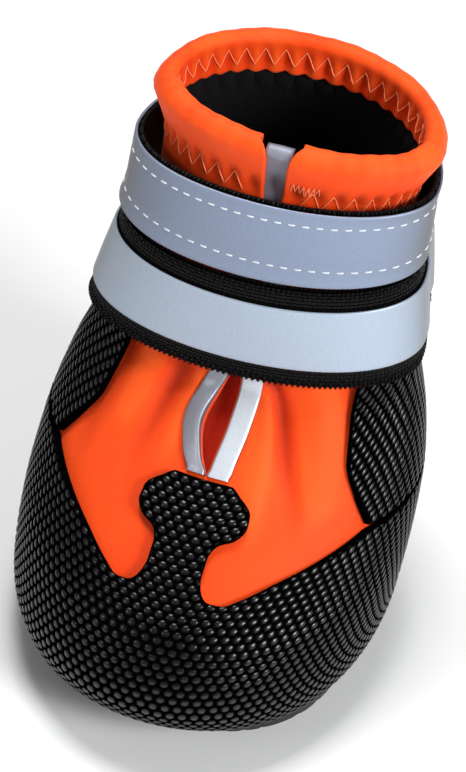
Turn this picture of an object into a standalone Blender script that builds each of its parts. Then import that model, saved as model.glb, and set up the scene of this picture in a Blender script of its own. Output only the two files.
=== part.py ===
"""Dog boot: a softshell upper on a ribbed rubber sole, with a woven bumper and two reflective straps.

Every cloth or rubber piece is a flat pattern, cut out and then shaped over one last.
The boot stands on z = 0 with its toe towards -Y.
"""
import math

import bmesh
import bpy
from mathutils import Vector

MM = 0.001

# Last: the closed form that the upper is shaped over
BOOT_HEIGHT = 128 * MM
TOE_REACH = 65 * MM
HEEL_REACH = 37 * MM
BALL_WIDTH = 79.5 * MM
BALL_LINE = -12 * MM
SHAFT_FRONT = 14 * MM
SHAFT_BACK = 27 * MM
SHAFT_WIDTH = 59 * MM
SHAFT_WIDEST = 2 * MM
SECTION_ROUNDNESS = 2.0
TOE_SPRING = 4 * MM
TOE_SPRING_LENGTH = 25 * MM
TOE_SPRING_FADE = 40 * MM

# Share of the boot height, then each size as a share of the way from the shaft's to the foot's
LAST_COLUMNS = ("height", "toe", "heel", "ball", "ball_line")
LAST_SECTIONS = (
    (0.046, 0.71, 0.05, 0.22, 1.00),
    (0.056, 0.85, 0.48, 0.60, 1.00),
    (0.084, 0.95, 0.84, 0.86, 1.00),
    (0.133, 1.00, 1.00, 0.97, 1.00),
    (0.234, 0.91, 0.96, 1.00, 0.86),
    (0.328, 0.65, 0.82, 0.95, 0.57),
    (0.430, 0.31, 0.60, 0.72, 0.29),
    (0.531, 0.04, 0.44, 0.34, 0.14),
    (0.625, 0.00, 0.30, 0.09, 0.07),
    (0.725, -0.02, 0.12, -0.14, 0.00),
    (0.800, -0.03, 0.00, -0.27, 0.00),
    (0.890, -0.03, -0.03, -0.26, 0.00),
    (1.000, 0.01, 0.18, 0.17, 0.00),
)

# Layers, from the last outwards
CLEARANCE = 0.3 * MM
UPPER_WALL = 2.0 * MM
FOLD_GAP = 0.8 * MM
HEM_DEPTH = 6.5 * MM
BUMPER_THICKNESS = 1.4 * MM
WEBBING_THICKNESS = 1.3 * MM
THIN_WEBBING_THICKNESS = 0.9 * MM
TAPE_THICKNESS = 0.6 * MM
PATCH_THICKNESS = 1.7 * MM
GUSSET_THICKNESS = 0.8 * MM

# Bumper and side panels
SEAM_HEIGHT = 45.5 * MM
BUMPER_BACK_HEIGHT = 28 * MM
TONGUE_HEAD_HEIGHT = 53.2 * MM
PANEL_BACK_ANGLE = 132
PANEL_SEAM_GAP = 0.5 * MM
PANEL_UNDER_STRAP = 10 * MM

# Front split of the upper, with its gusset and bindings
SPLIT_FOOT = 54.5 * MM
SPLIT_AT_COLLAR = 2.3 * MM
GUSSET_WIDTH = 17.6 * MM
GUSSET_BELOW_SPLIT = 4 * MM
BINDING_WIDTH = 4.2 * MM
BINDING_ABOVE_TONGUE = 1.2 * MM
BINDING_BELOW_RIM = 11.3 * MM
TAB_BELOW_RIM = 10.2 * MM

# Straps, counted down from the collar
COLLAR_HEIGHT = 11 * MM
LOWER_STRAP_WIDTH = 25 * MM
LOWER_TAPE_WIDTH = 15 * MM
LOWER_STRAP_TILT = 2.3 * MM
LOWER_STRAP_SLACK = 1.4 * MM
LOWER_STRAP_LOOSE = 0.1 * MM
STRAP_GAP = 0.8 * MM
UPPER_STRAP_WIDTH = 20.6 * MM
UPPER_TAPE_WIDTH = 19.2 * MM
UPPER_STRAP_TILT = 1.9 * MM
UPPER_STRAP_SLACK = 2.2 * MM
UPPER_STRAP_FLARE = 0.9 * MM
SLACK_ANGLE = -78
SLACK_SPREAD = 46
STRAP_START_ANGLE = -146
CLIMB_ANGLE = 16
CLIMB_BEFORE_PATCH = 20
PATCH_END_ANGLE = 0.8
UPPER_PATCH_WIDTH = 36 * MM
UPPER_PATCH_HEIGHT = 17 * MM
LOWER_PATCH_WIDTH = 45 * MM
LOWER_PATCH_HEIGHT = 23 * MM
FREE_END_REACH = 8 * MM

UPPER_STRAP_BOTTOM = BOOT_HEIGHT - COLLAR_HEIGHT - UPPER_STRAP_WIDTH
LOWER_STRAP_BOTTOM = UPPER_STRAP_BOTTOM - STRAP_GAP - LOWER_STRAP_WIDTH

# Sole
SOLE_THICKNESS = 3.2 * MM
SOLE_WIDTH = 72 * MM
HEEL_WING_WIDTH = 43 * MM
HEEL_WING_THICKNESS = 1.6 * MM
HEEL_CORNER_RADIUS = 13 * MM
WING_SETTLE_HEIGHT = 12 * MM
WING_BELOW_STRAP = 2 * MM
SOLE_TOE_INSET = 11.5 * MM
SOLE_PAST_HEEL = 1.5 * MM
THIN_START = 0.80
THIN_SPREAD = 0.30
CURL_START = 0.84
ARCH_RISE = 0.7 * MM
ARCH_CENTRE = -2 * MM
ARCH_LENGTH = 18 * MM
RIB_PITCH = 4.0 * MM
RIB_TOP = 2.1 * MM
RIB_FLANK = 0.7 * MM
RIB_DEPTH = 0.8 * MM
CHEVRON_WIDTH = 12 * MM
CHEVRON_RISE = 6 * MM
INSOLE_THICKNESS = 2.6 * MM
INSOLE_ROW_STEP = 8 * MM

SOLE_LENGTH = TOE_REACH - SOLE_TOE_INSET + HEEL_REACH + SOLE_PAST_HEEL
WING_TOP_HEIGHT = LOWER_STRAP_BOTTOM - WING_BELOW_STRAP

COLLECTION_NAME = "dog_boot"
ACROSS = Vector((1, 0, 0))
ALONG = Vector((0, 1, 0))


def clear_scene():
    """Remove every object, so that the script can be run again."""
    for item in list(bpy.data.objects):
        bpy.data.objects.remove(item, do_unlink=True)


def smooth_column(heights, values):
    """Function through the table's values that never swings past them (monotone cubic)."""
    steps = [b - a for a, b in zip(heights, heights[1:])]
    rises = [(b - a) / step for a, b, step in zip(values, values[1:], steps)]
    slopes = [rises[0]]
    for before, after in zip(rises, rises[1:]):
        slopes.append(0 if before * after <= 0 else 2 * before * after / (before + after))
    slopes.append(rises[-1])

    def value_at(height):
        height = min(max(height, heights[0]), heights[-1])
        row = 0
        while row < len(steps) - 1 and height > heights[row + 1]:
            row += 1
        step = steps[row]
        t = (height - heights[row]) / step
        start = values[row] * (1 + 2 * t) * (1 - t) ** 2 + slopes[row] * step * t * (1 - t) ** 2
        finish = values[row + 1] * t * t * (3 - 2 * t) + slopes[row + 1] * step * t * t * (t - 1)
        return start + finish

    return value_at


def last_columns():
    """One function of height for each column of the last's table."""
    heights = [row[0] * BOOT_HEIGHT for row in LAST_SECTIONS]
    return {
        name: smooth_column(heights, [row[place] for row in LAST_SECTIONS])
        for place, name in enumerate(LAST_COLUMNS)
    }


LAST = last_columns()
LAST_FOOT = LAST_SECTIONS[0][0] * BOOT_HEIGHT
# Short steps, in degrees and upwards, between which a surface's slope is read
PROBE_ANGLE = 3.0
PROBE_HEIGHT = 0.8 * MM


def between(start, finish, share):
    return start + (finish - start) * share


def smooth_step(value):
    value = min(max(value, 0.0), 1.0)
    return value * value * (3 - 2 * value)


def toe_lift(y):
    """Rise of the sole's line towards the toe, at a distance along the foot."""
    run = (-y - (TOE_REACH - TOE_SPRING_LENGTH)) / TOE_SPRING_LENGTH
    return TOE_SPRING * max(run, 0.0) ** 2


def last_section(height):
    """Front reach, back reach, half width and place of the widest line at a height."""
    front = between(SHAFT_FRONT, TOE_REACH, LAST["toe"](height))
    back = between(SHAFT_BACK, HEEL_REACH, LAST["heel"](height))
    half_width = between(SHAFT_WIDTH, BALL_WIDTH, LAST["ball"](height)) / 2
    widest = between(SHAFT_WIDEST, BALL_LINE, LAST["ball_line"](height))
    return front, back, half_width, widest


def last_surface(around, height):
    """Point of the last: degrees around it from the front (+X is at 90), and height."""
    front, back, half_width, widest = last_section(height)
    turn = math.radians(around)
    power = 2 / SECTION_ROUNDNESS
    along = math.copysign(abs(math.cos(turn)) ** power, math.cos(turn))
    across = math.copysign(abs(math.sin(turn)) ** power, math.sin(turn))
    reach = front + widest if along > 0 else back - widest
    y = widest - reach * along
    fade = max(1 - (height - LAST_FOOT) / TOE_SPRING_FADE, 0.0) ** 2
    return Vector((half_width * across, y, height + toe_lift(y) * fade))


def last_normal(around, height):
    """Unit normal of the last, pointing outwards."""
    low = max(height - PROBE_HEIGHT / 2, LAST_FOOT)
    high = min(low + PROBE_HEIGHT, BOOT_HEIGHT)
    sideways = last_surface(around + PROBE_ANGLE / 2, height) - last_surface(around - PROBE_ANGLE / 2, height)
    upwards = last_surface(around, high) - last_surface(around, low)
    return sideways.cross(upwards).normalized()


def over_last(around, height, out):
    """Point that lies a distance outside the last."""
    return last_surface(around, height) + last_normal(around, height) * out


def front_angle(x, height):
    """Degrees around the last at which its front half reaches a sideways distance."""
    half_width = last_section(height)[2]
    share = min(abs(x) / half_width, 1.0) ** (SECTION_ROUNDNESS / 2)
    return math.copysign(math.degrees(math.asin(share)), x)


def back_angle(x, height):
    """The same on the back half, counted on past the side."""
    return 180 - front_angle(x, height)


def steps(start, finish, spacing):
    """Evenly spaced values inside a range, about a spacing apart."""
    count = max(1, round(abs(finish - start) / spacing))
    return [between(start, finish, place / count) for place in range(1, count)]


# Lines shared by every pattern, so that the facets of neighbouring layers run parallel
COLUMN_STEP = 10
ROW_STEP = 7 * MM
ROW_MARGIN = 0.1 * MM
GUSSET_COLUMNS = (-9, 0, 9)


def shared_columns(start, finish):
    return [angle for angle in range(-360, 360, COLUMN_STEP) if start < angle < finish]


def shared_rows(low, high):
    foot_rows = [row[0] * BOOT_HEIGHT for row in LAST_SECTIONS[1:4]]
    rows = foot_rows + steps(foot_rows[-1], BOOT_HEIGHT, ROW_STEP)
    return [row for row in rows if low + ROW_MARGIN < row < high - ROW_MARGIN]


def cut_lines(pattern, axis, lines, beyond=-math.inf):
    """Cut a flat pattern along lines across an axis, where its faces lie beyond a value of v."""
    for line in lines:
        faces = [face for face in pattern.faces if face.calc_center_median().y > beyond]
        edges = {edge for face in faces for edge in face.edges}
        verts = {vert for face in faces for vert in face.verts}
        everything = list(verts) + list(edges) + faces
        bmesh.ops.bisect_plane(pattern, geom=everything, dist=1e-7, plane_co=axis * line, plane_no=axis)


def cut_pattern(outline, columns, rows):
    """Flat face with an outline, cut along lines of equal u and lines of equal v."""
    pattern = bmesh.new()
    pattern.faces.new([pattern.verts.new((u, v, 0)) for u, v in outline])
    cut_lines(pattern, ACROSS, columns)
    cut_lines(pattern, ALONG, rows)
    return pattern


def close_ring(pattern, start, finish):
    """Join the pattern's first and last columns into one."""
    first = sorted((v for v in pattern.verts if abs(v.co.x - start) < 1e-4), key=lambda v: v.co.y)
    last = sorted((v for v in pattern.verts if abs(v.co.x - finish) < 1e-4), key=lambda v: v.co.y)
    bmesh.ops.weld_verts(pattern, targetmap=dict(zip(last, first)))


def shape_pattern(name, pattern, inner, outer, material):
    """Give a flat pattern its thickness and shape it: inner and outer map (u, v) to points."""
    many_sided = [face for face in pattern.faces if len(face.verts) > 4]
    bmesh.ops.triangulate(pattern, faces=many_sided)
    near = pattern.verts[:]
    far = [item for item in bmesh.ops.extrude_face_region(pattern, geom=pattern.faces[:])["geom"]
           if isinstance(item, bmesh.types.BMVert)]
    for verts, place in ((near, inner), (far, outer)):
        for vert in verts:
            vert.co = place(vert.co.x, vert.co.y)
    bmesh.ops.recalc_face_normals(pattern, faces=pattern.faces[:])
    if pattern.calc_volume(signed=True) < 0:
        bmesh.ops.reverse_faces(pattern, faces=pattern.faces[:])
    mesh = bpy.data.meshes.new(name)
    pattern.to_mesh(mesh)
    pattern.free()
    return add_piece(name, mesh, material)


def add_piece(name, mesh, material):
    piece = bpy.data.objects.new(name, mesh)
    mesh.materials.append(material)
    bpy.data.collections[COLLECTION_NAME].objects.link(piece)
    return piece


def make_material(name, colour, roughness, metallic=0.0):
    material = bpy.data.materials.get(name) or bpy.data.materials.new(name)
    material.use_nodes = True
    shader = material.node_tree.nodes["Principled BSDF"]
    shader.inputs["Base Color"].default_value = (*colour, 1.0)
    shader.inputs["Roughness"].default_value = roughness
    shader.inputs["Metallic"].default_value = metallic
    return material


def layer(out):
    """Map of a pattern in degrees and heights to the last, a distance outside it."""
    return lambda around, height: over_last(around, height, out)


def rounded_table(rows):
    """Function through a short table of (height, value) rows."""
    return smooth_column([row[0] for row in rows], [row[1] for row in rows])


# Upper, with its top folded inwards as the collar

FOLD_RADIUS = UPPER_WALL + FOLD_GAP / 2
FOLD_START = BOOT_HEIGHT - FOLD_RADIUS
FOLD_END = FOLD_START + math.pi * FOLD_RADIUS
HEM_END = FOLD_END + HEM_DEPTH


def upper_wall(depth):
    """Map of (degrees, path up the wall and over the fold) to a depth inside the wall's face."""
    def place(around, path):
        if path <= FOLD_START:
            return over_last(around, path, -depth)
        radius = FOLD_RADIUS - depth
        turn = min((path - FOLD_START) / FOLD_RADIUS, math.pi)
        point = over_last(around, FOLD_START, -FOLD_RADIUS + radius * math.cos(turn))
        rise = radius * math.sin(turn) - max(path - FOLD_END, 0.0)
        return point + Vector((0, 0, rise))
    return place


def fold_rows():
    """Path lengths of the rows over the rim, a quarter of the half circle apart."""
    return [between(FOLD_START, FOLD_END, quarter / 4) for quarter in range(5)]


# Half width of the split to the left and right of the middle, by height as a share of the boot's
SPLIT_COLUMNS = ("height", "left", "right")
SPLIT_SECTIONS = (
    (SPLIT_FOOT / BOOT_HEIGHT, 0.10, 0.10),
    (0.438, 0.80, 0.15),
    (0.475, 1.75, 0.40),
    (0.512, 1.15, 0.45),
    (0.550, 0.55, 0.40),
    (0.850, 0.50, 0.50),
    (0.920, 1.00, 1.00),
    (1.000, 1.00, 1.00),
)


def split_edge(side):
    """Function of height for one edge of the split, as a sideways distance."""
    place = SPLIT_COLUMNS.index(side)
    sign = -1 if side == "left" else 1
    column = rounded_table([(row[0] * BOOT_HEIGHT, row[place]) for row in SPLIT_SECTIONS])
    return lambda height: sign * SPLIT_AT_COLLAR * column(height)


def split_line(side, away, low, high):
    """Pattern points along one edge of the split, a distance away from it."""
    edge = split_edge(side)
    sign = -1 if side == "left" else 1
    heights = [low] + shared_rows(low, high) + [high]
    return [(front_angle(edge(height) + sign * away, height), height) for height in heights]


def make_upper(material):
    left = split_line("left", 0, SPLIT_FOOT, FOLD_START)
    right = split_line("right", 0, SPLIT_FOOT, FOLD_START)
    left_end = left[-1][0]
    right_end = right[-1][0]
    outline = [(-180, LAST_FOOT), (180, LAST_FOOT), (180, HEM_END), (right_end, HEM_END)]
    outline += right[::-1] + left[1:] + [(left_end, HEM_END), (-180, HEM_END)]
    rows = shared_rows(LAST_FOOT, FOLD_START) + fold_rows()
    pattern = cut_pattern(outline, shared_columns(-180, 180), rows)
    close_ring(pattern, -180, 180)
    return shape_pattern("upper", pattern, upper_wall(UPPER_WALL), upper_wall(0), material)


def make_gusset(material):
    near = -UPPER_WALL - CLEARANCE
    half = GUSSET_WIDTH / 2
    low = SPLIT_FOOT - GUSSET_BELOW_SPLIT
    high = FOLD_START - HEM_DEPTH - FOLD_GAP
    heights = [low] + shared_rows(low, high) + [high]
    outline = [(front_angle(-half, height), height) for height in heights]
    outline += [(front_angle(half, height), height) for height in heights[::-1]]
    pattern = cut_pattern(outline, GUSSET_COLUMNS, heights[1:-1])
    return shape_pattern("gusset", pattern, layer(near - GUSSET_THICKNESS), layer(near), material)


def make_binding(side, material):
    """Reflective tape along one edge of the split, from the tongue's head to the collar."""
    low = TONGUE_HEAD_HEIGHT + BINDING_ABOVE_TONGUE
    high = FOLD_START - BINDING_BELOW_RIM
    inner = split_line(side, CLEARANCE, low, high)
    outer = split_line(side, CLEARANCE + BINDING_WIDTH, low, high)
    outline = inner + outer[::-1]
    angles, heights = zip(*outline)
    pattern = cut_pattern(outline, shared_columns(min(angles), max(angles)), heights[1:len(inner) - 1])
    near = CLEARANCE
    return shape_pattern("binding_" + side, pattern, layer(near), layer(near + TAPE_THICKNESS), material)


def make_collar_tab(material):
    """Tape that folds over the collar between the two ends of the split."""
    low = FOLD_START - TAB_BELOW_RIM
    high = FOLD_END + HEM_DEPTH / 2
    half = front_angle(SPLIT_AT_COLLAR - CLEARANCE, FOLD_START)
    outline = [(-half, low), (half, low), (half, high), (-half, high)]
    pattern = cut_pattern(outline, (0,), fold_rows())
    inner = upper_wall(CLEARANCE + TAPE_THICKNESS)
    return shape_pattern("collar_tab", pattern, inner, upper_wall(CLEARANCE), material)


# Bumper with its tongue, and the side panels

# Right half of the window's lower edge from the tongue's head outwards:
# sideways as a share of half the ball width, height as a share of the seam's height
WINDOW_EDGE = (
    (0.00, TONGUE_HEAD_HEIGHT / SEAM_HEIGHT),
    (0.145, TONGUE_HEAD_HEIGHT / SEAM_HEIGHT),
    (0.205, 1.145),
    (0.285, 1.092),
    (0.290, 1.060),
    (0.250, 1.023),
    (0.175, 1.002),
    (0.145, 0.965),
    (0.145, 0.912),
    (0.165, 0.865),
    (0.215, 0.835),
    (0.285, 0.830),
    (0.365, 0.850),
    (0.520, 0.900),
    (0.690, 0.950),
    (0.840, 1.000),
)
# The side panel's front edge, from the window's corner up to the strap
PANEL_EDGE = (
    (0.840, 1.020),
    (0.750, 1.140),
    (0.665, 1.270),
    (0.625, 1.400),
    (0.615, 1.690),
)
# The bumper's upper edge from the window's corner to the heel: degrees around, share of the seam's height
BACK_EDGE = (
    (100, 1.000),
    (122, 0.930),
    (145, 0.720),
    (160, BUMPER_BACK_HEIGHT / SEAM_HEIGHT),
)


def front_points(rows, side):
    """Pattern points of a table of shares, on one side of the front."""
    points = []
    for sideways, share in rows:
        height = share * SEAM_HEIGHT
        points.append((front_angle(side * sideways * BALL_WIDTH / 2, height), height))
    return points


def make_bumper(material):
    """Woven bumper all round the foot; its upper edge runs down to the heel at the back."""
    back = [(angle, share * SEAM_HEIGHT) for angle, share in BACK_EDGE] + [(180, BUMPER_BACK_HEIGHT)]
    right = front_points(WINDOW_EDGE, 1) + back
    left = front_points(WINDOW_EDGE, -1) + [(-angle, height) for angle, height in back]
    outline = [(-180, LAST_FOOT), (180, LAST_FOOT)] + right[::-1] + left[1:]
    pattern = cut_pattern(outline, shared_columns(-180, 180), shared_rows(LAST_FOOT, TONGUE_HEAD_HEIGHT))
    close_ring(pattern, -180, 180)
    near = CLEARANCE
    return shape_pattern("bumper", pattern, layer(near), layer(near + BUMPER_THICKNESS), material)


def make_side_panel(name, side, material):
    """Woven panel between the bumper's seam and the lower strap."""
    top = LOWER_STRAP_BOTTOM + PANEL_UNDER_STRAP
    outline = front_points(PANEL_EDGE, side) + [(side * PANEL_BACK_ANGLE, top)]
    outline += [(side * angle, share * SEAM_HEIGHT + PANEL_SEAM_GAP) for angle, share in BACK_EDGE[2::-1]]
    pattern = cut_pattern(outline, shared_columns(-180, 180), shared_rows(LAST_FOOT, top))
    near = CLEARANCE
    return shape_pattern(name, pattern, layer(near), layer(near + BUMPER_THICKNESS), material)


# Straps and the loop patches they fasten to

# Inner face of each strap and patch, as a distance from the last
OVER_PANEL = CLEARANCE * 2 + BUMPER_THICKNESS + LOWER_STRAP_LOOSE
OVER_BINDING = CLEARANCE * 3 + TAPE_THICKNESS
OVER_WING = CLEARANCE * 4 + HEEL_WING_THICKNESS + RIB_DEPTH

# Each strap: bottom, width, tape's width, thickness, inner face, slack, flare of its lower edge,
# rise towards the side at +X, patch's width, patch's height and patch's inner face
STRAP_COLUMNS = ("bottom", "width", "tape_width", "thickness", "near", "slack", "flare", "tilt",
                 "patch_width", "patch_height", "patch_near")
STRAPS = {
    "lower": (LOWER_STRAP_BOTTOM, LOWER_STRAP_WIDTH, LOWER_TAPE_WIDTH, WEBBING_THICKNESS, OVER_PANEL,
              LOWER_STRAP_SLACK, 0, LOWER_STRAP_TILT, LOWER_PATCH_WIDTH, LOWER_PATCH_HEIGHT, OVER_WING),
    "upper": (UPPER_STRAP_BOTTOM, UPPER_STRAP_WIDTH, UPPER_TAPE_WIDTH, THIN_WEBBING_THICKNESS, OVER_BINDING,
              UPPER_STRAP_SLACK, UPPER_STRAP_FLARE, UPPER_STRAP_TILT, UPPER_PATCH_WIDTH, UPPER_PATCH_HEIGHT,
              CLEARANCE),
}


def strap_layer(strap, out):
    """Map for a layer of a strap: it bulges where slack, flares downwards, tilts, and climbs its patch."""
    middle = strap["bottom"] + strap["width"] / 2
    climb_start = back_angle(strap["patch_width"] / 2, middle) - CLIMB_BEFORE_PATCH
    over_patch = strap["patch_near"] + PATCH_THICKNESS + CLEARANCE - strap["near"]

    def place(around, height):
        bulge = strap["slack"] * math.exp(-((around - SLACK_ANGLE) / SLACK_SPREAD) ** 2)
        climb = smooth_step((around - climb_start) / CLIMB_ANGLE)
        flare = strap["flare"] * (strap["bottom"] + strap["width"] - height) / strap["width"] * (1 - climb)
        tilted = height + strap["tilt"] * math.sin(math.radians(around))
        return over_last(around, tilted, strap["near"] + out + bulge + flare + over_patch * climb)

    return place


def patch_layer(strap, out):
    """Map for a face of a strap's patch, which lies on the boot and tilts with the strap."""
    def place(around, height):
        tilted = height + strap["tilt"] * math.sin(math.radians(around))
        return over_last(around, tilted, strap["patch_near"] + out)

    return place


def make_band(name, low, high, start, finish, inner, outer, material, rows=()):
    outline = [(start, low), (finish, low), (finish, high), (start, high)]
    pattern = cut_pattern(outline, shared_columns(start, finish), rows)
    return shape_pattern(name, pattern, inner, outer, material)


def make_strap(name, webbing, tape, pile):
    """Webbing round the boot with its tape sewn on, and the patch that its free end fastens to."""
    strap = dict(zip(STRAP_COLUMNS, STRAPS[name]))
    low = strap["bottom"]
    high = low + strap["width"]
    middle = (low + high) / 2
    thick = strap["thickness"]
    start = STRAP_START_ANGLE
    finish = back_angle(FREE_END_REACH, middle)
    tape_low = middle - strap["tape_width"] / 2
    tape_high = middle + strap["tape_width"] / 2
    inner, outer = strap_layer(strap, 0), strap_layer(strap, thick)
    make_band(name + "_strap", low, high, start, finish, inner, outer, webbing, (tape_low, tape_high))
    inner = strap_layer(strap, thick + CLEARANCE)
    outer = strap_layer(strap, thick + CLEARANCE + TAPE_THICKNESS)
    make_band(name + "_reflector", tape_low, tape_high, start, finish, inner, outer, tape)
    start = back_angle(strap["patch_width"] / 2, middle)
    finish = 360 + STRAP_START_ANGLE - PATCH_END_ANGLE
    patch_low = middle - strap["patch_height"] / 2
    patch_high = middle + strap["patch_height"] / 2
    inner, outer = patch_layer(strap, 0), patch_layer(strap, PATCH_THICKNESS)
    make_band(name + "_loop_patch", patch_low, patch_high, start, finish, inner, outer, pile)


# Outsole: one sheet of rubber, flat under the foot and curled up the heel

# Half width by distance from the toe, as shares of half the sole width and of the sole length
SOLE_OUTLINE = (
    (0.000, 0.14),
    (0.018, 0.34),
    (0.055, 0.55),
    (0.115, 0.74),
    (0.200, 0.89),
    (0.300, 0.97),
    (0.420, 1.00),
    (0.560, 0.985),
    (0.700, 0.94),
    (0.800, 0.875),
    (0.865, 0.810),
)
# From the sole's shoulder to the wing: along, then the share between the wing's and the shoulder's width
HEEL_TAPER = ((0.885, 0.55), (0.905, 0.34), (0.945, 0.15), (1.000, 0.03))
# Outer face of the heel wing's ribs, as a distance from the last
WING_FACE = CLEARANCE * 3 + BUMPER_THICKNESS + HEEL_WING_THICKNESS + RIB_DEPTH
# Least share of a distance off the heel's surface that counts backwards, where that surface leans
LEAST_LEAN = 0.4


def sole_toe():
    return -TOE_REACH + SOLE_TOE_INSET


def sole_line(y):
    """Height of the rib tops at a distance along the foot: arch and toe spring."""
    from_arch = abs(y - ARCH_CENTRE) / (ARCH_LENGTH / 2)
    arch = ARCH_RISE * (1 - smooth_step(from_arch))
    return toe_lift(y) + arch


def heel_surface(x, height, out):
    """Point behind the last at a sideways distance and height, a distance off its surface."""
    around = back_angle(x, height)
    lean = max(last_normal(around, height).y, LEAST_LEAN)
    return Vector((x, last_surface(around, height).y + out / lean, height))


def curl_start(x):
    """Distance from the toe at which the sheet starts to curl up, at a sideways distance."""
    return heel_surface(x, HEEL_CORNER_RADIUS, WING_FACE).y - HEEL_CORNER_RADIUS - sole_toe()


def wing_along(x, height):
    """Distance from the toe, along the sheet, of a height on the wing."""
    return curl_start(x) + HEEL_CORNER_RADIUS * math.pi / 2 + height - HEEL_CORNER_RADIUS


def sole_sheet(x, along, up):
    """Point of the curled sheet: sideways, distance from the toe, and depth in from the rib tops."""
    flat_length = curl_start(x)
    if along <= flat_length:
        y = sole_toe() + along
        return Vector((x, y, sole_line(y) + up))
    turn = (along - flat_length) / HEEL_CORNER_RADIUS
    if turn <= math.pi / 2:
        radius = HEEL_CORNER_RADIUS - up
        y = sole_toe() + flat_length + radius * math.sin(turn)
        return Vector((x, y, HEEL_CORNER_RADIUS - radius * math.cos(turn)))
    height = HEEL_CORNER_RADIUS + along - wing_along(x, HEEL_CORNER_RADIUS)
    settle = smooth_step((height - BUMPER_BACK_HEIGHT) / WING_SETTLE_HEIGHT)
    return heel_surface(x, height, WING_FACE - up - settle * (BUMPER_THICKNESS + CLEARANCE))


def chevron(x):
    """Zigzag across the sole: distance along the foot by which a rib is shifted."""
    place = (x / CHEVRON_WIDTH) % 2
    return CHEVRON_RISE * (place if place <= 1 else 2 - place)


def sole_outline():
    """The sheet's flat outline: up its right side, over the top of the heel wing and down its left side."""
    right = [(share * SOLE_WIDTH / 2, along * SOLE_LENGTH) for along, share in SOLE_OUTLINE]
    shoulder = right[-1][0]
    wing = HEEL_WING_WIDTH / 2
    right += [(between(wing, shoulder, share), along * SOLE_LENGTH) for along, share in HEEL_TAPER]
    right += [(x, wing_along(x, WING_TOP_HEIGHT)) for x in (wing, wing / 2)]
    left = [(-x, along) for x, along in right[::-1]]
    return right + [(0, wing_along(0, WING_TOP_HEIGHT))] + left


def make_outsole(material):
    outline = sole_outline()
    chevrons = math.ceil(SOLE_WIDTH / 2 / CHEVRON_WIDTH)
    columns = [CHEVRON_WIDTH * place for place in range(-chevrons, chevrons + 1)]
    curl_columns = [CHEVRON_WIDTH * (place + 0.5) for place in range(-chevrons, chevrons)]
    pattern = cut_pattern(outline, columns, ())
    for vert in pattern.verts:
        vert.co.y -= chevron(vert.co.x)
    first_rib = -math.ceil(CHEVRON_RISE / RIB_PITCH)
    ribs = range(first_rib, 1 + int(max(along for _, along in outline) / RIB_PITCH))
    rib_steps = (0, RIB_FLANK, RIB_FLANK + RIB_TOP)
    rows = [rib * RIB_PITCH + step for rib in ribs for step in rib_steps]
    cut_lines(pattern, ALONG, rows)
    cut_lines(pattern, ACROSS, curl_columns, SOLE_LENGTH * CURL_START)

    def relief(across):
        place = across % RIB_PITCH
        if place > RIB_FLANK + RIB_TOP:
            place = (RIB_PITCH - place) * RIB_FLANK / (RIB_PITCH - RIB_FLANK - RIB_TOP)
        return RIB_DEPTH * (1 - min(place / RIB_FLANK, 1.0))

    def tread(x, across):
        return sole_sheet(x, across + chevron(x), relief(across))

    def inside(x, across):
        along = across + chevron(x)
        thin = smooth_step((along / SOLE_LENGTH - THIN_START) / THIN_SPREAD)
        depth = between(SOLE_THICKNESS, HEEL_WING_THICKNESS + RIB_DEPTH, thin)
        return sole_sheet(x, along, depth)

    return shape_pattern("outsole", pattern, tread, inside, material)


def make_insole(material):
    """Board that closes the upper's open underside."""
    low = SOLE_THICKNESS + CLEARANCE
    gap = CLEARANCE * 2
    outline = []
    for around in range(0, 360, COLUMN_STEP):
        edge = over_last(around, LAST_FOOT, -UPPER_WALL)
        point = last_surface(around, LAST_FOOT)
        inset = min(1 - gap / point.xy.length, edge.xy.length / point.xy.length - gap / point.xy.length)
        outline.append((point.x * inset, point.y * inset))
    lengthwise = steps(outline[0][1], outline[len(outline) // 2][1], INSOLE_ROW_STEP)
    board = cut_pattern(outline, (0,), lengthwise)

    def at_height(height):
        return lambda x, y: Vector((x, y, sole_line(y) + height))

    return shape_pattern("insole", board, at_height(low), at_height(low + INSOLE_THICKNESS), material)


def stand_on_origin(pieces):
    """Parent the pieces to an empty that puts the middle of the boot's base on the origin."""
    corners = [vert.co for piece in pieces for vert in piece.data.vertices]
    low = Vector([min(corner[axis] for corner in corners) for axis in range(3)])
    high = Vector([max(corner[axis] for corner in corners) for axis in range(3)])
    stand = bpy.data.objects.new("boot", None)
    bpy.data.collections[COLLECTION_NAME].objects.link(stand)
    stand.location = (-(low.x + high.x) / 2, -(low.y + high.y) / 2, -low.z)
    for piece in pieces:
        piece.parent = stand


def main():
    clear_scene()
    collection = bpy.data.collections.get(COLLECTION_NAME) or bpy.data.collections.new(COLLECTION_NAME)
    if collection.name not in bpy.context.scene.collection.children:
        bpy.context.scene.collection.children.link(collection)

    softshell = make_material("orange_softshell", (1.0, 0.10, 0.02), 0.62)
    stretch = make_material("gusset_stretch", (0.75, 0.05, 0.02), 0.7)
    weave = make_material("nubby_weave", (0.012, 0.012, 0.013), 0.6)
    webbing = make_material("black_webbing", (0.010, 0.010, 0.011), 0.75)
    tape = make_material("reflective_tape", (0.42, 0.45, 0.50), 0.38, 0.25)
    pile = make_material("loop_pile", (0.008, 0.008, 0.009), 0.95)
    rubber = make_material("sole_rubber", (0.018, 0.018, 0.020), 0.55)
    fleece = make_material("insole_fleece", (0.006, 0.006, 0.006), 0.95)

    make_outsole(rubber)
    make_insole(fleece)
    make_upper(softshell)
    make_gusset(stretch)
    make_binding("left", tape)
    make_binding("right", tape)
    make_collar_tab(tape)
    make_bumper(weave)
    make_side_panel("side_panel_left", -1, weave)
    make_side_panel("side_panel_right", 1, weave)
    make_strap("lower", webbing, tape, pile)
    make_strap("upper", webbing, tape, pile)
    stand_on_origin([item for item in collection.objects if item.type == "MESH"])


main()
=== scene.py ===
import math

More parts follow.
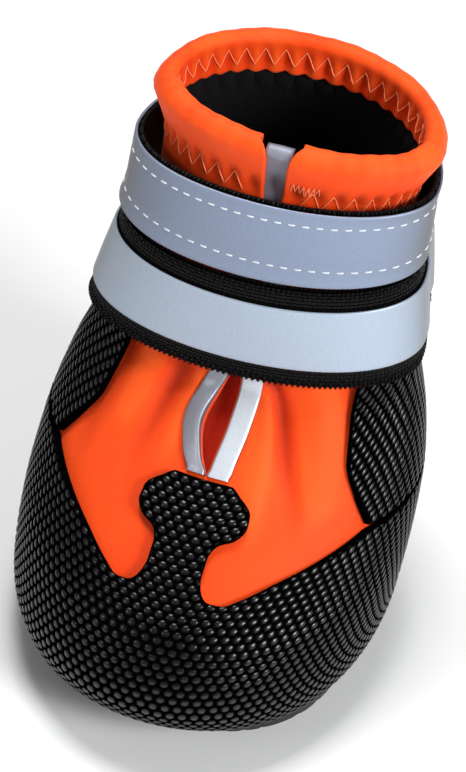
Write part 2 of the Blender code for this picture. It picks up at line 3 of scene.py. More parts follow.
import bmesh
import bpy
import numpy as np
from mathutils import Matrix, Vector


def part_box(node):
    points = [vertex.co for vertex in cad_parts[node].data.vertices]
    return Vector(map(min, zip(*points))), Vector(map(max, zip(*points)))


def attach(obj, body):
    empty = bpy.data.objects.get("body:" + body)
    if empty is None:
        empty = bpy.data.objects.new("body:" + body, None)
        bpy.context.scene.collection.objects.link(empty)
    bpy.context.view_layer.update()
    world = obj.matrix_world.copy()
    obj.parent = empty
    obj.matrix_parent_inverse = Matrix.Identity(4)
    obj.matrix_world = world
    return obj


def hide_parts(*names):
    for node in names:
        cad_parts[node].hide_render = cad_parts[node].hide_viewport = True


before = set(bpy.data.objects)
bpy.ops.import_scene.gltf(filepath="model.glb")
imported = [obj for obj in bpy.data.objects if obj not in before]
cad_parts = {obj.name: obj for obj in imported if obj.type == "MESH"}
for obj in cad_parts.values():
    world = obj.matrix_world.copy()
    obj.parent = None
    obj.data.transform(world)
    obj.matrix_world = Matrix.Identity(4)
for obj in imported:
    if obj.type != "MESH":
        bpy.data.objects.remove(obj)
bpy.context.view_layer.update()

# Studio. The boot stands on a white sweep; a camera with a long lens looks down on its toe from the front.
# A soft lamp above, a strong one at the right and a faint one at the left leave pale, even light.
MM = 0.001
CAMERA_AZIMUTH = 10.3
CAMERA_ELEVATION = 42.0
CAMERA_ROLL = 10.0
CAMERA_DISTANCE = 745 * MM
CAMERA_LENS = 161.3
CAMERA_AIM = (0, 11.4 * MM, 50 * MM)
CAMERA_SHIFT = (-2.6 * MM, 3.0 * MM)


def camera_axes():
    """Right, up and backward unit vectors of a camera at the azimuth and elevation, rolled."""
    turn = math.radians(CAMERA_AZIMUTH)
    tilt = math.radians(CAMERA_ELEVATION)
    roll = math.radians(CAMERA_ROLL)
    right = Vector((math.cos(turn), math.sin(turn), 0))
    backward = Vector((math.sin(turn) * math.cos(tilt), -math.cos(turn) * math.cos(tilt), math.sin(tilt)))
    up = backward.cross(right)
    rolled_right = right * math.cos(roll) + up * math.sin(roll)
    rolled_up = up * math.cos(roll) - right * math.sin(roll)
    return rolled_right, rolled_up, backward


def add_camera():
    """Camera that looks at the aim; the shift slides it sideways and up in its own plane."""
    right, up, backward = camera_axes()
    data = bpy.data.cameras.new("camera")
    data.lens = CAMERA_LENS
    data.sensor_width = 36
    data.clip_start = 0.02
    camera = bpy.data.objects.new("camera", data)
    bpy.context.scene.collection.objects.link(camera)
    turned = camera.matrix_world.to_3x3()
    turned.col[0] = right
    turned.col[1] = up
    turned.col[2] = backward
    camera.matrix_world = turned.to_4x4()
    aim = Vector(CAMERA_AIM) + right * CAMERA_SHIFT[0] + up * CAMERA_SHIFT[1]
    camera.location = aim + backward * CAMERA_DISTANCE
    bpy.context.scene.camera = camera


def add_lamp(name, place, size, power, colour):
    """Square area lamp at a place, aimed at the middle of the boot."""
    data = bpy.data.lights.new(name, "AREA")
    data.size = size
    data.energy = power
    data.color = colour
    lamp = bpy.data.objects.new(name, data)
    lamp.location = place
    aim = Vector((0, 0, 0.06)) - Vector(place)
    lamp.rotation_euler = aim.to_track_quat("-Z", "Y").to_euler()
    bpy.context.scene.collection.objects.link(lamp)


def new_material(name, colour, roughness, metallic=0.0, specular=0.5):
    """Principled material with the values that are the same all over it."""
    material = bpy.data.materials.new(name)
    material.use_nodes = True
    shader = material.node_tree.nodes["Principled BSDF"]
    shader.inputs["Base Color"].default_value = (*colour, 1.0)
    shader.inputs["Roughness"].default_value = roughness
    shader.inputs["Metallic"].default_value = metallic
    shader.inputs["Specular IOR Level"].default_value = specular
    return material, material.node_tree, shader


def add_floor():
    """White sheet under the boot; it isn't part of it."""
    bpy.ops.mesh.primitive_plane_add(size=4, location=(0, 0, 0))
    floor = bpy.context.object
    floor.name = "floor"
    white, _, _ = new_material("white_sweep", (0.86, 0.86, 0.86), 0.9, specular=0.1)
    floor.data.materials.append(white)


add_camera()
add_lamp("overhead", (-0.15, 0.1, 1.1), 0.35, 8.5, (1.0, 1.0, 1.0))
add_lamp("front_left", (-0.9, -1.0, 0.8), 0.45, 2.5, (1.0, 0.99, 0.97))
add_lamp("right", (1.0, -0.5, 0.7), 0.45, 15, (0.98, 0.99, 1.0))
add_floor()
world = bpy.data.worlds.new("studio")
world.use_nodes = True
world.node_tree.nodes["Background"].inputs["Color"].default_value = (1, 1, 1, 1)
world.node_tree.nodes["Background"].inputs["Strength"].default_value = 0.22
bpy.context.scene.world = world
bpy.context.scene.view_settings.view_transform = "Standard"

# Upper. Orange softshell bonded to black fleece, cut in one piece with a split down the front; its top edge
# is folded in as a padded collar. Soft creases run down the vamp from the lower strap.

# The last that all the cloth is shaped over: a round-toed paw shape with a narrow ankle and a flared top
BOOT_HEIGHT = 128 * MM
TOE_REACH = 65 * MM
HEEL_REACH = 37 * MM
BALL_WIDTH = 79.5 * MM
BALL_LINE = -12 * MM
SHAFT_FRONT = 14 * MM
SHAFT_BACK = 27 * MM
SHAFT_WIDTH = 59 * MM
SHAFT_WIDEST = 2 * MM
SECTION_ROUNDNESS = 2.0
TOE_SPRING = 4 * MM
TOE_SPRING_LENGTH = 25 * MM
TOE_SPRING_FADE = 40 * MM
# Sections: height as a share of the boot's, then how far each size is on its way from the shaft to the foot
LAST_COLUMNS = ("height", "toe", "heel", "ball", "ball_line")
LAST_SECTIONS = np.array((
    (0.046, 0.71, 0.05, 0.22, 1.00),
    (0.056, 0.85, 0.48, 0.60, 1.00),
    (0.084, 0.95, 0.84, 0.86, 1.00),
    (0.133, 1.00, 1.00, 0.97, 1.00),
    (0.234, 0.91, 0.96, 1.00, 0.86),
    (0.328, 0.65, 0.82, 0.95, 0.57),
    (0.430, 0.31, 0.60, 0.72, 0.29),
    (0.531, 0.04, 0.44, 0.34, 0.14),
    (0.625, 0.00, 0.30, 0.09, 0.07),
    (0.725, -0.02, 0.12, -0.14, 0.00),
    (0.800, -0.03, 0.00, -0.27, 0.00),
    (0.890, -0.03, -0.03, -0.26, 0.00),
    (1.000, 0.01, 0.18, 0.17, 0.00),
))
LAST_FOOT = LAST_SECTIONS[0, 0] * BOOT_HEIGHT
LAST_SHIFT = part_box("upper")[0].y + TOE_REACH
# Short steps, in degrees and upwards, between which a surface's slope is read
PROBE_ANGLE = 3.0
PROBE_HEIGHT = 0.8 * MM


def smooth_column(heights, values):
    """Function of an array through the table's values that never swings past them (monotone cubic)."""
    heights = np.asarray(heights, float)
    values = np.asarray(values, float)
    rises = np.diff(values) / np.diff(heights)
    slopes = np.empty_like(values)
    slopes[0] = rises[0]
    slopes[-1] = rises[-1]
    product = rises[:-1] * rises[1:]
    total = rises[:-1] + rises[1:]
    safe = np.where(product > 0, total, 1.0)
    slopes[1:-1] = np.where(product > 0, 2 * product / safe, 0.0)

    def value_at(height):
        height = np.clip(height, heights[0], heights[-1])
        row = np.clip(np.searchsorted(heights, height) - 1, 0, len(heights) - 2)
        step = heights[row + 1] - heights[row]
        t = (height - heights[row]) / step
        start = values[row] * (1 + 2 * t) * (1 - t) ** 2 + slopes[row] * step * t * (1 - t) ** 2
        finish = values[row + 1] * t * t * (3 - 2 * t) + slopes[row + 1] * step * t * t * (t - 1)
        return start + finish

    return value_at


LAST = {
    name: smooth_column(LAST_SECTIONS[:, 0] * BOOT_HEIGHT, LAST_SECTIONS[:, place])
    for place, name in enumerate(LAST_COLUMNS)
}


def toe_lift(y):
    """Rise towards the toe: the square of the run past the start of the toe spring."""
    run = (-y - (TOE_REACH - TOE_SPRING_LENGTH)) / TOE_SPRING_LENGTH
    return TOE_SPRING * np.maximum(run, 0.0) ** 2


def last_section(height):
    """Front reach, back reach, half width and place of the widest line, mixed between shaft and foot."""
    front = SHAFT_FRONT + (TOE_REACH - SHAFT_FRONT) * LAST["toe"](height)
    back = SHAFT_BACK + (HEEL_REACH - SHAFT_BACK) * LAST["heel"](height)
    half_width = (SHAFT_WIDTH + (BALL_WIDTH - SHAFT_WIDTH) * LAST["ball"](height)) / 2
    widest = SHAFT_WIDEST + (BALL_LINE - SHAFT_WIDEST) * LAST["ball_line"](height)
    return front, back, half_width, widest


def last_surface(around, height):
    """Superellipse section at a height; around is in degrees from the front, with +X at 90."""
    around, height = np.broadcast_arrays(np.asarray(around, float), np.asarray(height, float))
    front, back, half_width, widest = last_section(height)
    turn = np.radians(around)
    power = 2 / SECTION_ROUNDNESS
    along = np.sign(np.cos(turn)) * np.abs(np.cos(turn)) ** power
    across = np.sign(np.sin(turn)) * np.abs(np.sin(turn)) ** power
    reach = np.where(along > 0, front + widest, back - widest)
    y = widest - reach * along
    fade = np.clip(1 - (height - LAST_FOOT) / TOE_SPRING_FADE, 0.0, 1.0) ** 2
    return np.stack([half_width * across, y + LAST_SHIFT, height + toe_lift(y) * fade], -1)


def smooth_step(value):
    """Rise from 0 to 1 with level ends: three squares less two cubes of the value."""
    value = np.clip(value, 0.0, 1.0)
    return value * value * (3 - 2 * value)


def bell(distance, spread):
    """Bell curve: 1 at no distance, and about a third at the spread."""
    return np.exp(-(distance / spread) ** 2)


def unit(vectors):
    """Vectors of length 1 in the same directions."""
    length = np.linalg.norm(vectors, axis=-1, keepdims=True)
    return vectors / np.maximum(length, 1e-12)


def last_normal(around, height):
    """Outward unit normal, from the cross product of small steps around and up."""
    around, height = np.broadcast_arrays(np.asarray(around, float), np.asarray(height, float))
    low = np.clip(height - PROBE_HEIGHT / 2, LAST_FOOT, BOOT_HEIGHT - PROBE_HEIGHT)
    sideways = last_surface(around + PROBE_ANGLE / 2, height) - last_surface(around - PROBE_ANGLE / 2, height)
    upwards = last_surface(around, low + PROBE_HEIGHT) - last_surface(around, low)
    return unit(np.cross(sideways, upwards))


def over_last(around, height, out):
    """Point that lies a distance outside the last."""
    return last_surface(around, height) + last_normal(around, height) * np.asarray(out)[..., None]


def front_angle(x, height):
    """Degrees around at which the front half of a section reaches a sideways distance."""
    half_width = last_section(height)[2]
    share = np.clip(np.abs(x) / half_width, 0, 1) ** (SECTION_ROUNDNESS / 2)
    return np.sign(x) * np.degrees(np.arcsin(share))


# Wall, collar and split of the upper
UPPER_WALL = 2.0 * MM
FOLD_GAP = 0.8 * MM
HEM_DEPTH = 6.5 * MM
FOLD_RADIUS = UPPER_WALL + FOLD_GAP / 2
FOLD_START = BOOT_HEIGHT - FOLD_RADIUS
FOLD_END = FOLD_START + math.pi * FOLD_RADIUS
HEM_END = FOLD_END + HEM_DEPTH
SPLIT_FOOT = 54.5 * MM
SPLIT_AT_COLLAR = 2.3 * MM
SPLIT_COLUMNS = ("height", "left", "right")
SPLIT_SECTIONS = np.array((
    (SPLIT_FOOT / BOOT_HEIGHT, 0.10, 0.10),
    (0.438, 0.80, 0.15),
    (0.475, 1.75, 0.40),
    (0.512, 1.15, 0.45),
    (0.550, 0.55, 0.40),
    (0.850, 0.50, 0.50),
    (0.920, 1.00, 1.00),
    (1.000, 1.00, 1.00),
))
STITCH_PITCH = 5.0 * MM
COLLAR_END_RADIUS = 2.4 * MM
COLLAR_END_BEND = 1.4 * FOLD_RADIUS
COLLAR_GIRTH = 190 * MM
HEM_SCALLOP = 0.7 * MM
CLOTH_THICKNESS = UPPER_WALL - 0.3 * MM
PUCKER_OUTSIDE = FOLD_START - 8 * MM
PUCKER_INSIDE = FOLD_END + 4 * MM
FOLD_TOP = (FOLD_START + FOLD_END) / 2
CREASE_COLUMNS = ("from_x", "from_z", "to_x", "to_z", "width", "depth")
# In millimetres, on the front: sideways and height at both ends, width, and depth, below 0 for a trough
CREASES = (
    (5.5, 73, 21, 48, 1.4, -2.0),
    (7.5, 66, 12.5, 46, 2.2, 1.0),
    (15, 74, 26, 48, 3.4, 1.2),
    (24, 72, 31, 56, 2.6, -0.7),
    (-10, 73, -18, 50, 2.0, -1.6),
    (-7.5, 68, -10.5, 52, 1.7, 0.7),
    (-17, 72, -22, 54, 3.0, 0.9),
    (-23.5, 68, -30.5, 46, 2.2, -1.2),
)


def split_edge(side):
    """Sideways distance of one edge of the split, as a function of height."""
    sign = -1 if side == "left" else 1
    column = smooth_column(SPLIT_SECTIONS[:, 0] * BOOT_HEIGHT, SPLIT_SECTIONS[:, SPLIT_COLUMNS.index(side)])
    return lambda height: np.where(height < SPLIT_FOOT, 0.0, sign * SPLIT_AT_COLLAR * column(height))


def grid_quads(rows, columns, closed=False):
    """Corner numbers of a grid's quads, facing the side where around x up points."""
    number = np.arange(rows * columns).reshape(rows, columns)
    if closed:
        number = np.concatenate([number, number[:, :1]], axis=1)
    corners = [number[:-1, :-1], number[:-1, 1:], number[1:, 1:], number[1:, :-1]]
    return np.stack(corners, -1).reshape(-1, 4)


def add_surface(name, points, quads, material, uv=None, relief=None):
    """Mesh object from arrays of points and quads, with a UV and a relief value for each point if given."""
    points = np.reshape(points, (-1, 3))
    used, corners = np.unique(quads, return_inverse=True)
    corners = corners.reshape(-1)
    mesh = bpy.data.meshes.new(name)
    mesh.vertices.add(len(used))
    mesh.vertices.foreach_set("co", points[used].astype(np.float32).ravel())
    mesh.loops.add(len(corners))
    mesh.loops.foreach_set("vertex_index", corners.astype(np.int32))
    mesh.polygons.add(len(quads))
    mesh.polygons.foreach_set("loop_start", np.arange(0, len(corners), 4, dtype=np.int32))
    mesh.polygons.foreach_set("use_smooth", np.ones(len(quads), dtype=bool))
    if uv is not None:
        layer = mesh.uv_layers.new(name="pattern")
        layer.data.foreach_set("uv", np.reshape(uv, (-1, 2))[used][corners].astype(np.float32).ravel())
    if relief is not None:
        values = mesh.attributes.new("relief", "FLOAT", "POINT")
        values.data.foreach_set("value", np.ravel(relief)[used].astype(np.float32))
    mesh.update(calc_edges=True)
    mesh.validate()
    mesh.materials.append(material)
    piece = bpy.data.objects.new(name, mesh)
    bpy.context.scene.collection.objects.link(piece)
    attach(piece, "root")
    return piece


def weld(piece):
    """Join the points that lie on the same spot, as along a closing seam."""
    body = bmesh.new()
    body.from_mesh(piece.data)
    bmesh.ops.remove_doubles(body, verts=body.verts, dist=1e-5)
    body.to_mesh(piece.data)
    body.free()


def give_thickness(piece, thickness, inner=None):
    """Solidify inwards; the inner face may have a material of its own."""
    wall = piece.modifiers.new("wall", "SOLIDIFY")
    wall.thickness = thickness
    wall.offset = -1
    if inner is not None:
        piece.data.materials.append(inner)
        wall.material_offset = 1


def crease_relief(x, z):
    """Sum of soft troughs and ridges: each is a bell curve across its own line and fades along it."""
    relief = np.zeros(np.broadcast(x, z).shape)
    for row in CREASES:
        crease = {column: value * MM for column, value in zip(CREASE_COLUMNS, row)}
        start = np.array((crease["from_x"], crease["from_z"]))
        run = np.array((crease["to_x"], crease["to_z"])) - start
        along = ((x - start[0]) * run[0] + (z - start[1]) * run[1]) / (run @ run)
        near = np.clip(along, 0, 1)
        away = np.hypot(x - start[0] - near * run[0], z - start[1] - near * run[1])
        fade = np.cos(np.pi / 2 * near) ** 0.7
        relief += crease["depth"] * fade * bell(away, crease["width"])
    return relief


def collar_relief(around, path):
    """Puckers of the hem: shallow dents one stitch apart on both sides of the fold, and a fuller rim."""
    wave = np.cos(2 * np.pi * (around / 360) * round(COLLAR_GIRTH / STITCH_PITCH))
    slow = np.sin(np.radians(around * 5 + 40)) + np.sin(np.radians(around * 11)) + 0.6 * wave
    rim = bell(path - FOLD_TOP, 6 * MM) * (0.25 + 0.10 * slow)
    outside = bell(path - PUCKER_OUTSIDE, 2.2 * MM) * (0.5 + 0.42 * wave)
    inside = bell(path - PUCKER_INSIDE, 2.8 * MM) * (0.15 + 0.62 * wave)
    return (rim - outside - inside) * MM


def upper_points(around, path, depth=0.0):
    """Up the wall of the last, over a half circle at the rim and down inside as the hem."""
    around, path, depth = np.broadcast_arrays(around, path, depth)
    height = np.minimum(path, FOLD_START)
    turn = np.clip((path - FOLD_START) / FOLD_RADIUS, 0, np.pi)
    bulge = collar_relief(around, path) + crease_relief(last_surface(around, height)[..., 0], height)
    radius = FOLD_RADIUS - depth + bulge
    out = np.where(path <= FOLD_START, bulge - depth, -FOLD_RADIUS + radius * np.cos(turn))
    points = over_last(around, height, out)
    rise = radius * np.sin(turn) - np.maximum(path - FOLD_END, 0)
    points[..., 2] += np.where(path <= FOLD_START, 0.0, rise)
    return points


def add_nodes(tree, *kinds):
    """New shader nodes, one of each kind."""
    return [tree.nodes.new("ShaderNode" + kind) for kind in kinds]


def add_bump(tree, shader, height, strength, distance):
    """Bump from a height output into the shader's normal."""
    bump, = add_nodes(tree, "Bump")
    bump.inputs["Strength"].default_value = strength
    bump.inputs["Distance"].default_value = distance
    tree.links.new(height, bump.inputs["Height"])
    tree.links.new(bump.outputs["Normal"], shader.inputs["Normal"])


def add_tones(tree, value, stops):
    """Colour ramp over a value: stops are (position, colour)."""
    ramp, = add_nodes(tree, "ValToRGB")
    elements = ramp.color_ramp.elements
    for place, (position, colour) in enumerate(stops):
        element = elements[place] if place < 2 else elements.new(position)
        element.position = position
        element.color = (*colour, 1)
    tree.links.new(value, ramp.inputs["Fac"])
    return ramp.outputs["Color"]


def object_texture(tree, kind, scale, detail=None):
    """Texture over the Object coordinates: a scale of 1000 gives features of about a millimetre."""
    place, texture = add_nodes(tree, "TexCoord", kind)
    texture.inputs["Scale"].default_value = scale
    if detail is not None:
        texture.inputs["Detail"].default_value = detail
    tree.links.new(place.outputs["Object"], texture.inputs["Vector"])
    return texture


def multiply(tree, first, second):
    """Product of two colours."""
    mix, = add_nodes(tree, "Mix")
    mix.data_type = "RGBA"
    mix.blend_type = "MULTIPLY"
    mix.inputs["Factor"].default_value = 1.0
    tree.links.new(first, mix.inputs[6])
    tree.links.new(second, mix.inputs[7])
    return mix.outputs[2]


# Painted shade and highlight of the knit, from the bottom of a crease or pucker to the top of a fold
FOLD_SHADE_AND_HIGHLIGHT_TONES = (
    (0.0, (0.60, 0.48, 0.45)),
    (0.45, (0.95, 0.92, 0.92)),
    (0.59, (1.0, 1.02, 1.05)),
    (0.72, (1.04, 1.45, 2.2)),
)


def softshell_material():
    """Matte knit face: tiny loops as bump, a soft clouding of the dye, painted shade in the folds and a
    painted highlight on their tops.
    """
    material, tree, shader = new_material("orange_softshell", (0.93, 0.078, 0.006), 0.62, specular=0.2)
    loops = object_texture(tree, "TexVoronoi", 2600)
    cloud = object_texture(tree, "TexNoise", 60, detail=5)
    relief, folds = add_nodes(tree, "Attribute", "MapRange")
    tones = add_tones(tree, cloud.outputs["Fac"], ((0.3, (0.90, 0.056, 0.002)), (0.75, (0.96, 0.078, 0.005))))
    relief.attribute_name = "relief"
    folds.inputs["From Min"].default_value = -1.4 * MM
    folds.inputs["From Max"].default_value = 1.0 * MM
    tree.links.new(relief.outputs["Fac"], folds.inputs["Value"])
    # painted shade and highlight: the depth of creases and puckers darkens the colour in hollows and pales it
    # on tops
    painted_fold_shading = add_tones(tree, folds.outputs["Result"], FOLD_SHADE_AND_HIGHLIGHT_TONES)
    tree.links.new(multiply(tree, tones, painted_fold_shading), shader.inputs["Base Color"])
    add_bump(tree, shader, loops.outputs["Distance"], 0.18, 0.2 * MM)
    shader.inputs["Sheen Weight"].default_value = 0.12
    shader.inputs["Sheen Roughness"].default_value = 0.5
    shader.inputs["Sheen Tint"].default_value = (1.0, 0.6, 0.45, 1)
    return material


def fleece_material():
    """Black napped lining: dense short noise that swallows the light."""
    material, tree, shader = new_material("black_fleece", (0.006, 0.006, 0.007), 0.95, specular=0.1)
    nap = object_texture(tree, "TexNoise", 1500, detail=6)
    add_bump(tree, shader, nap.outputs["Fac"], 0.7, 0.6 * MM)
    return material


def stand_in(node):
    """The piece takes the place of a solid, which is hidden."""
    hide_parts(node)


fleece = fleece_material()
# Below this height the bumper covers the upper, which needs few rows there
HIDDEN_BELOW = 30 * MM
upper_rows = np.concatenate([
    np.linspace(LAST_FOOT, HIDDEN_BELOW, 16)[:-1],
    np.linspace(HIDDEN_BELOW, FOLD_START, 92)[:-1],
    np.linspace(FOLD_START, FOLD_END, 15)[:-1],
    np.linspace(FOLD_END, HEM_END, 16),
])[:, None]
upper_share = np.linspace(0, 1, 361)[None]
hem_scallop = HEM_SCALLOP * np.abs(np.sin(np.pi * upper_share * COLLAR_GIRTH / STITCH_PITCH))
path = upper_rows + np.clip((upper_rows - FOLD_END) / HEM_DEPTH, 0, 1) * hem_scallop
edge_height = np.minimum(path, FOLD_START)
past_corner = (path - FOLD_START + COLLAR_END_RADIUS) / (COLLAR_END_RADIUS + COLLAR_END_BEND)
past_corner = np.clip(past_corner, 0, 1)
rounding = COLLAR_END_RADIUS * (1 - np.sqrt(1 - past_corner ** 2))
right_edge = front_angle(split_edge("right")(edge_height) + rounding, edge_height)
left_edge = front_angle(split_edge("left")(edge_height) - rounding, edge_height)
around = right_edge + (360 + left_edge - right_edge) * upper_share
relief = collar_relief(around, path) + crease_relief(last_surface(around, edge_height)[..., 0], edge_height)
upper = add_surface(
    "upper_softshell", upper_points(around, path), grid_quads(*around.shape),
    softshell_material(), relief=relief,
)
weld(upper)
give_thickness(upper, CLOTH_THICKNESS, fleece)
stand_in("upper")

# Collar stitching. Two rows of pale orange zigzag thread hold the folded hem, one seen outside above the
# upper strap and one inside; a dense bar of stitches locks the end beside the tab.
THREAD_RADIUS = 0.12 * MM
THREAD_SIDES = 6
THREAD_LIFT = 0.1 * MM
ZIGZAG_HEIGHT = 3.8 * MM
LOCK_PITCH = 1.2 * MM


def add_thread(name, centres, normals, radius, material):
    """Thread along each row of points: a ring of points about each one, drawn in at both ends."""
    ahead = unit(np.gradient(centres, axis=-2))
    beside = unit(np.cross(ahead, normals))
    turn = np.linspace(0, 2 * np.pi, THREAD_SIDES + 1)[:-1, None]
    ring = np.cos(turn) * beside[..., None, :] + np.sin(turn) * np.cross(beside, ahead)[..., None, :]
    ends = np.ones(centres.shape[-2])
    ends[[0, -1]] = 0.02
    points = centres[..., None, :] + ring * radius * ends[:, None, None]
    size = centres.shape[-2] * THREAD_SIDES
    each = grid_quads(centres.shape[-2], THREAD_SIDES, closed=True)
    count = points.size // (3 * size)
    quads = each[None] + (np.arange(count) * size)[:, None, None]
    return add_surface(name, points, quads.reshape(-1, 4)[:, ::-1], material)


def zigzag(start, finish, middle, height, pitch):
    """Centre line and normals of a zigzag from one angle to another, about a path length up the wall."""
    count = round((finish - start) / 360 * COLLAR_GIRTH / pitch) * 2
    corner = np.arange(count + 1)
    share = np.linspace(0, count, count * 5 + 1)
    side = np.interp(share, corner, corner % 2 - 0.5)
    angle = start + (finish - start) * share / count
    level = middle + height * side
    low = upper_points(angle, level - 0.3 * MM, -THREAD_LIFT)
    high = upper_points(angle, level + 0.3 * MM, -THREAD_LIFT)
    beside = upper_points(angle + 0.5, level, -THREAD_LIFT)
    centre = (low + high) / 2
    return centre, unit(np.cross(beside - centre, high - low))


thread, _, _ = new_material("orange_thread", (1.0, 0.30, 0.13), 0.6)
for name, start, finish, middle, height, pitch in (
    ("zigzag_outside", 12, 347, FOLD_START - 9.0 * MM, ZIGZAG_HEIGHT, STITCH_PITCH),
    ("zigzag_inside", 8, 352, FOLD_END + 3.0 * MM, ZIGZAG_HEIGHT, STITCH_PITCH),
    ("zigzag_bar", 7, 20, FOLD_START - 6.5 * MM, ZIGZAG_HEIGHT * 0.8, LOCK_PITCH),
):
    centre, normal = zigzag(start, finish, middle, height, pitch)
    row = add_thread(name, centre, normal, THREAD_RADIUS, thread)

# Insole. A board covered in the same black fleece, glued over the turned-in edge of the upper. It closes
# the upper underneath and shows only as the dark floor of the boot.
SOLE_THICKNESS = 3.2 * MM
INSOLE_THICKNESS = 2.6 * MM
CLEARANCE = 0.3 * MM
BOARD_EDGE_ROUNDING = 0.5 * MM
ARCH_RISE = 0.7 * MM
ARCH_CENTRE = -2 * MM
ARCH_LENGTH = 18 * MM


def sole_line(y):
    """Height of the rib tops at a distance along the foot: arch and toe spring."""
    own_y = y - LAST_SHIFT
    from_arch = np.abs(own_y - ARCH_CENTRE) / (ARCH_LENGTH / 2)
    return toe_lift(own_y) + ARCH_RISE * (1 - smooth_step(from_arch))


turn = np.linspace(0, 360, 97)[:-1][None]
edge = over_last(turn, LAST_FOOT, -UPPER_WALL - CLEARANCE)
share = np.concatenate([np.linspace(0.02, 1, 26), [1.0]])[:, None, None]
middle = np.array((0, LAST_SHIFT - 8 * MM, 0))
board = middle + (edge - middle) * share
pillow = INSOLE_THICKNESS - BOARD_EDGE_ROUNDING * smooth_step((share[..., 0] - 0.9) / 0.1)
pillow[-1] = 0.0
board[..., 2] = sole_line(board[..., 1]) + SOLE_THICKNESS + CLEARANCE + pillow
insole = add_surface("insole_fleece", board, grid_quads(*board.shape[:2], closed=True)[:, ::-1], fleece)
stand_in("insole")

# Gusset. A sheet of thin stretch cloth sewn behind the split, seen as a dark orange slit between the two
# bound edges.
GUSSET_HALF = 8.8 * MM
GUSSET_DEPTH = 2.4 * MM
GUSSET_FOOT = SPLIT_FOOT - 3.5 * MM
GUSSET_TOP = FOLD_START - 13 * MM
GUSSET_THICKNESS = 0.6 * MM


def gusset_material():
    """Dark orange knit with fine ribs."""
    material, tree, shader = new_material("stretch_cloth", (0.55, 0.022, 0.006), 0.8, specular=0.2)
    rib = object_texture(tree, "TexWave", 900)
    add_bump(tree, shader, rib.outputs["Fac"], 0.2, 0.2 * MM)
    return material


gusset_x, gusset_z = np.meshgrid(
    np.linspace(-GUSSET_HALF, GUSSET_HALF, 25), np.linspace(GUSSET_FOOT, GUSSET_TOP, 60)
)
hollow = -0.5 * MM * bell(gusset_x + 2 * MM, 3 * MM)
gusset_points = over_last(front_angle(gusset_x, gusset_z), gusset_z, -GUSSET_DEPTH + hollow)
gusset = add_surface("gusset_cloth", gusset_points, grid_quads(*gusset_x.shape), gusset_material())
give_thickness(gusset, GUSSET_THICKNESS)
stand_in("gusset")

# Bindings. Silver reflective tape folded over both edges of the split and stitched; the left one bows away
# and twists, so that its fold catches the light; its tape is a darker copy of the same tape, painted shade.
BINDING_WIDTH = 4.2 * MM
TONGUE_HEAD_HEIGHT = 53.2 * MM
BINDING_FOOT = TONGUE_HEAD_HEIGHT + 0.6 * MM
BINDING_TOP = FOLD_START - 11.5 * MM
TWIST_HEIGHT = 60 * MM
TWIST_SPREAD = 6 * MM
# Fold of the tape over the edge: share of its width, distance out from the last in millimetres
BINDING_PROFILE = (
    (0.35, -1.7),
    (0.10, -1.0),
    (0.02, 0.0),
    (0.06, 0.7),
    (0.16, 1.05),
    (0.40, 1.15),
    (0.70, 1.12),
    (0.92, 1.02),
    (1.00, 0.75),
    (1.00, 0.30),
)


def even_curve(points, along, count):
    """Evenly spaced points on the curve through the rows of points, at their distances along it."""
    wanted = np.linspace(0, along[-1], count)
    return np.stack([smooth_column(along, column)(wanted) for column in points.T], -1)


def tape_material(name, facing, grazing_painted_shade, roughness):
    """Reflective film: a silvery grain of glass beads; its colour is painted lighter where it faces the view
    and painted darker where it turns away.
    """
    material, tree, shader = new_material(name, facing, roughness, metallic=0.3)
    turn, = add_nodes(tree, "LayerWeight")
    beads = object_texture(tree, "TexNoise", 1800, detail=3)
    # painted light and shade: the facing value blends the colour from the facing one to the darker grazing
    # one
    tones = add_tones(tree, turn.outputs["Facing"], ((0.15, facing), (0.75, grazing_painted_shade)))
    grain = add_tones(tree, beads.outputs["Fac"], ((0.35, (0.93, 0.93, 0.93)), (0.65, (1.0, 1.0, 1.0))))
    tree.links.new(multiply(tree, tones, grain), shader.inputs["Base Color"])
    add_bump(tree, shader, beads.outputs["Fac"], 0.08, 0.05 * MM)
    return material


binding_tape = tape_material("binding_tape", (0.66, 0.70, 0.76), (0.20, 0.19, 0.23), 0.4)
# painted shade: the left binding gets a darker copy of the binding tape
painted_shade_tape = tape_material("painted_shade_tape", (0.35, 0.36, 0.42), (0.15, 0.14, 0.17), 0.35)
across, out = even_curve(np.array(BINDING_PROFILE), np.arange(len(BINDING_PROFILE)), 37).T
for side, sign, lift, tape in (("left", -1, 2.0, painted_shade_tape), ("right", 1, 0.15, binding_tape)):
    height = np.linspace(BINDING_FOOT, BINDING_TOP, 130)[:, None]
    width = BINDING_WIDTH * (1.0 if side == "left" else 1.12)
    x = split_edge(side)(height) + sign * (0.1 * MM + across[None] * width)
    twist = lift * MM * bell(height - TWIST_HEIGHT, TWIST_SPREAD) * (1 - across[None])
    face = np.where(out[None] > 0.5, 1.0, 0.0) * twist
    points = over_last(front_angle(x, height), height, out[None] * MM + face)
    quads = grid_quads(*x.shape)
    strip = add_surface("binding_tape_" + side, points, quads if sign > 0 else quads[:, ::-1], tape)
    stand_in("binding_" + side)

# Collar tab. One more piece of the silver tape, folded over the rim where the split ends, so that it joins
# the two rounded ends of the collar; its tape is a darker grey than on the bindings, painted shade.
TAB_HALF = 2.9 * MM
TAB_DEPTH = 1.1 * MM
TAB_THICKNESS = 0.5 * MM
TAB_START = FOLD_START - 13.5 * MM
TAB_END = FOLD_END + 4 * MM
tab_x, tab_path = np.meshgrid(np.linspace(-TAB_HALF, TAB_HALF, 9), np.linspace(TAB_START, TAB_END, 80))
# painted shade: a darker copy of the silver tape
tab_tape = tape_material("tab_tape", (0.27, 0.29, 0.35), (0.17, 0.17, 0.21), 0.55)
tab = add_surface(
    "collar_tape", upper_points(front_angle(tab_x, np.minimum(tab_path, FOLD_START)), tab_path, TAB_DEPTH),
    grid_quads(*tab_x.shape), tab_tape,
)
give_thickness(tab, TAB_THICKNESS)
stand_in("collar_tab")

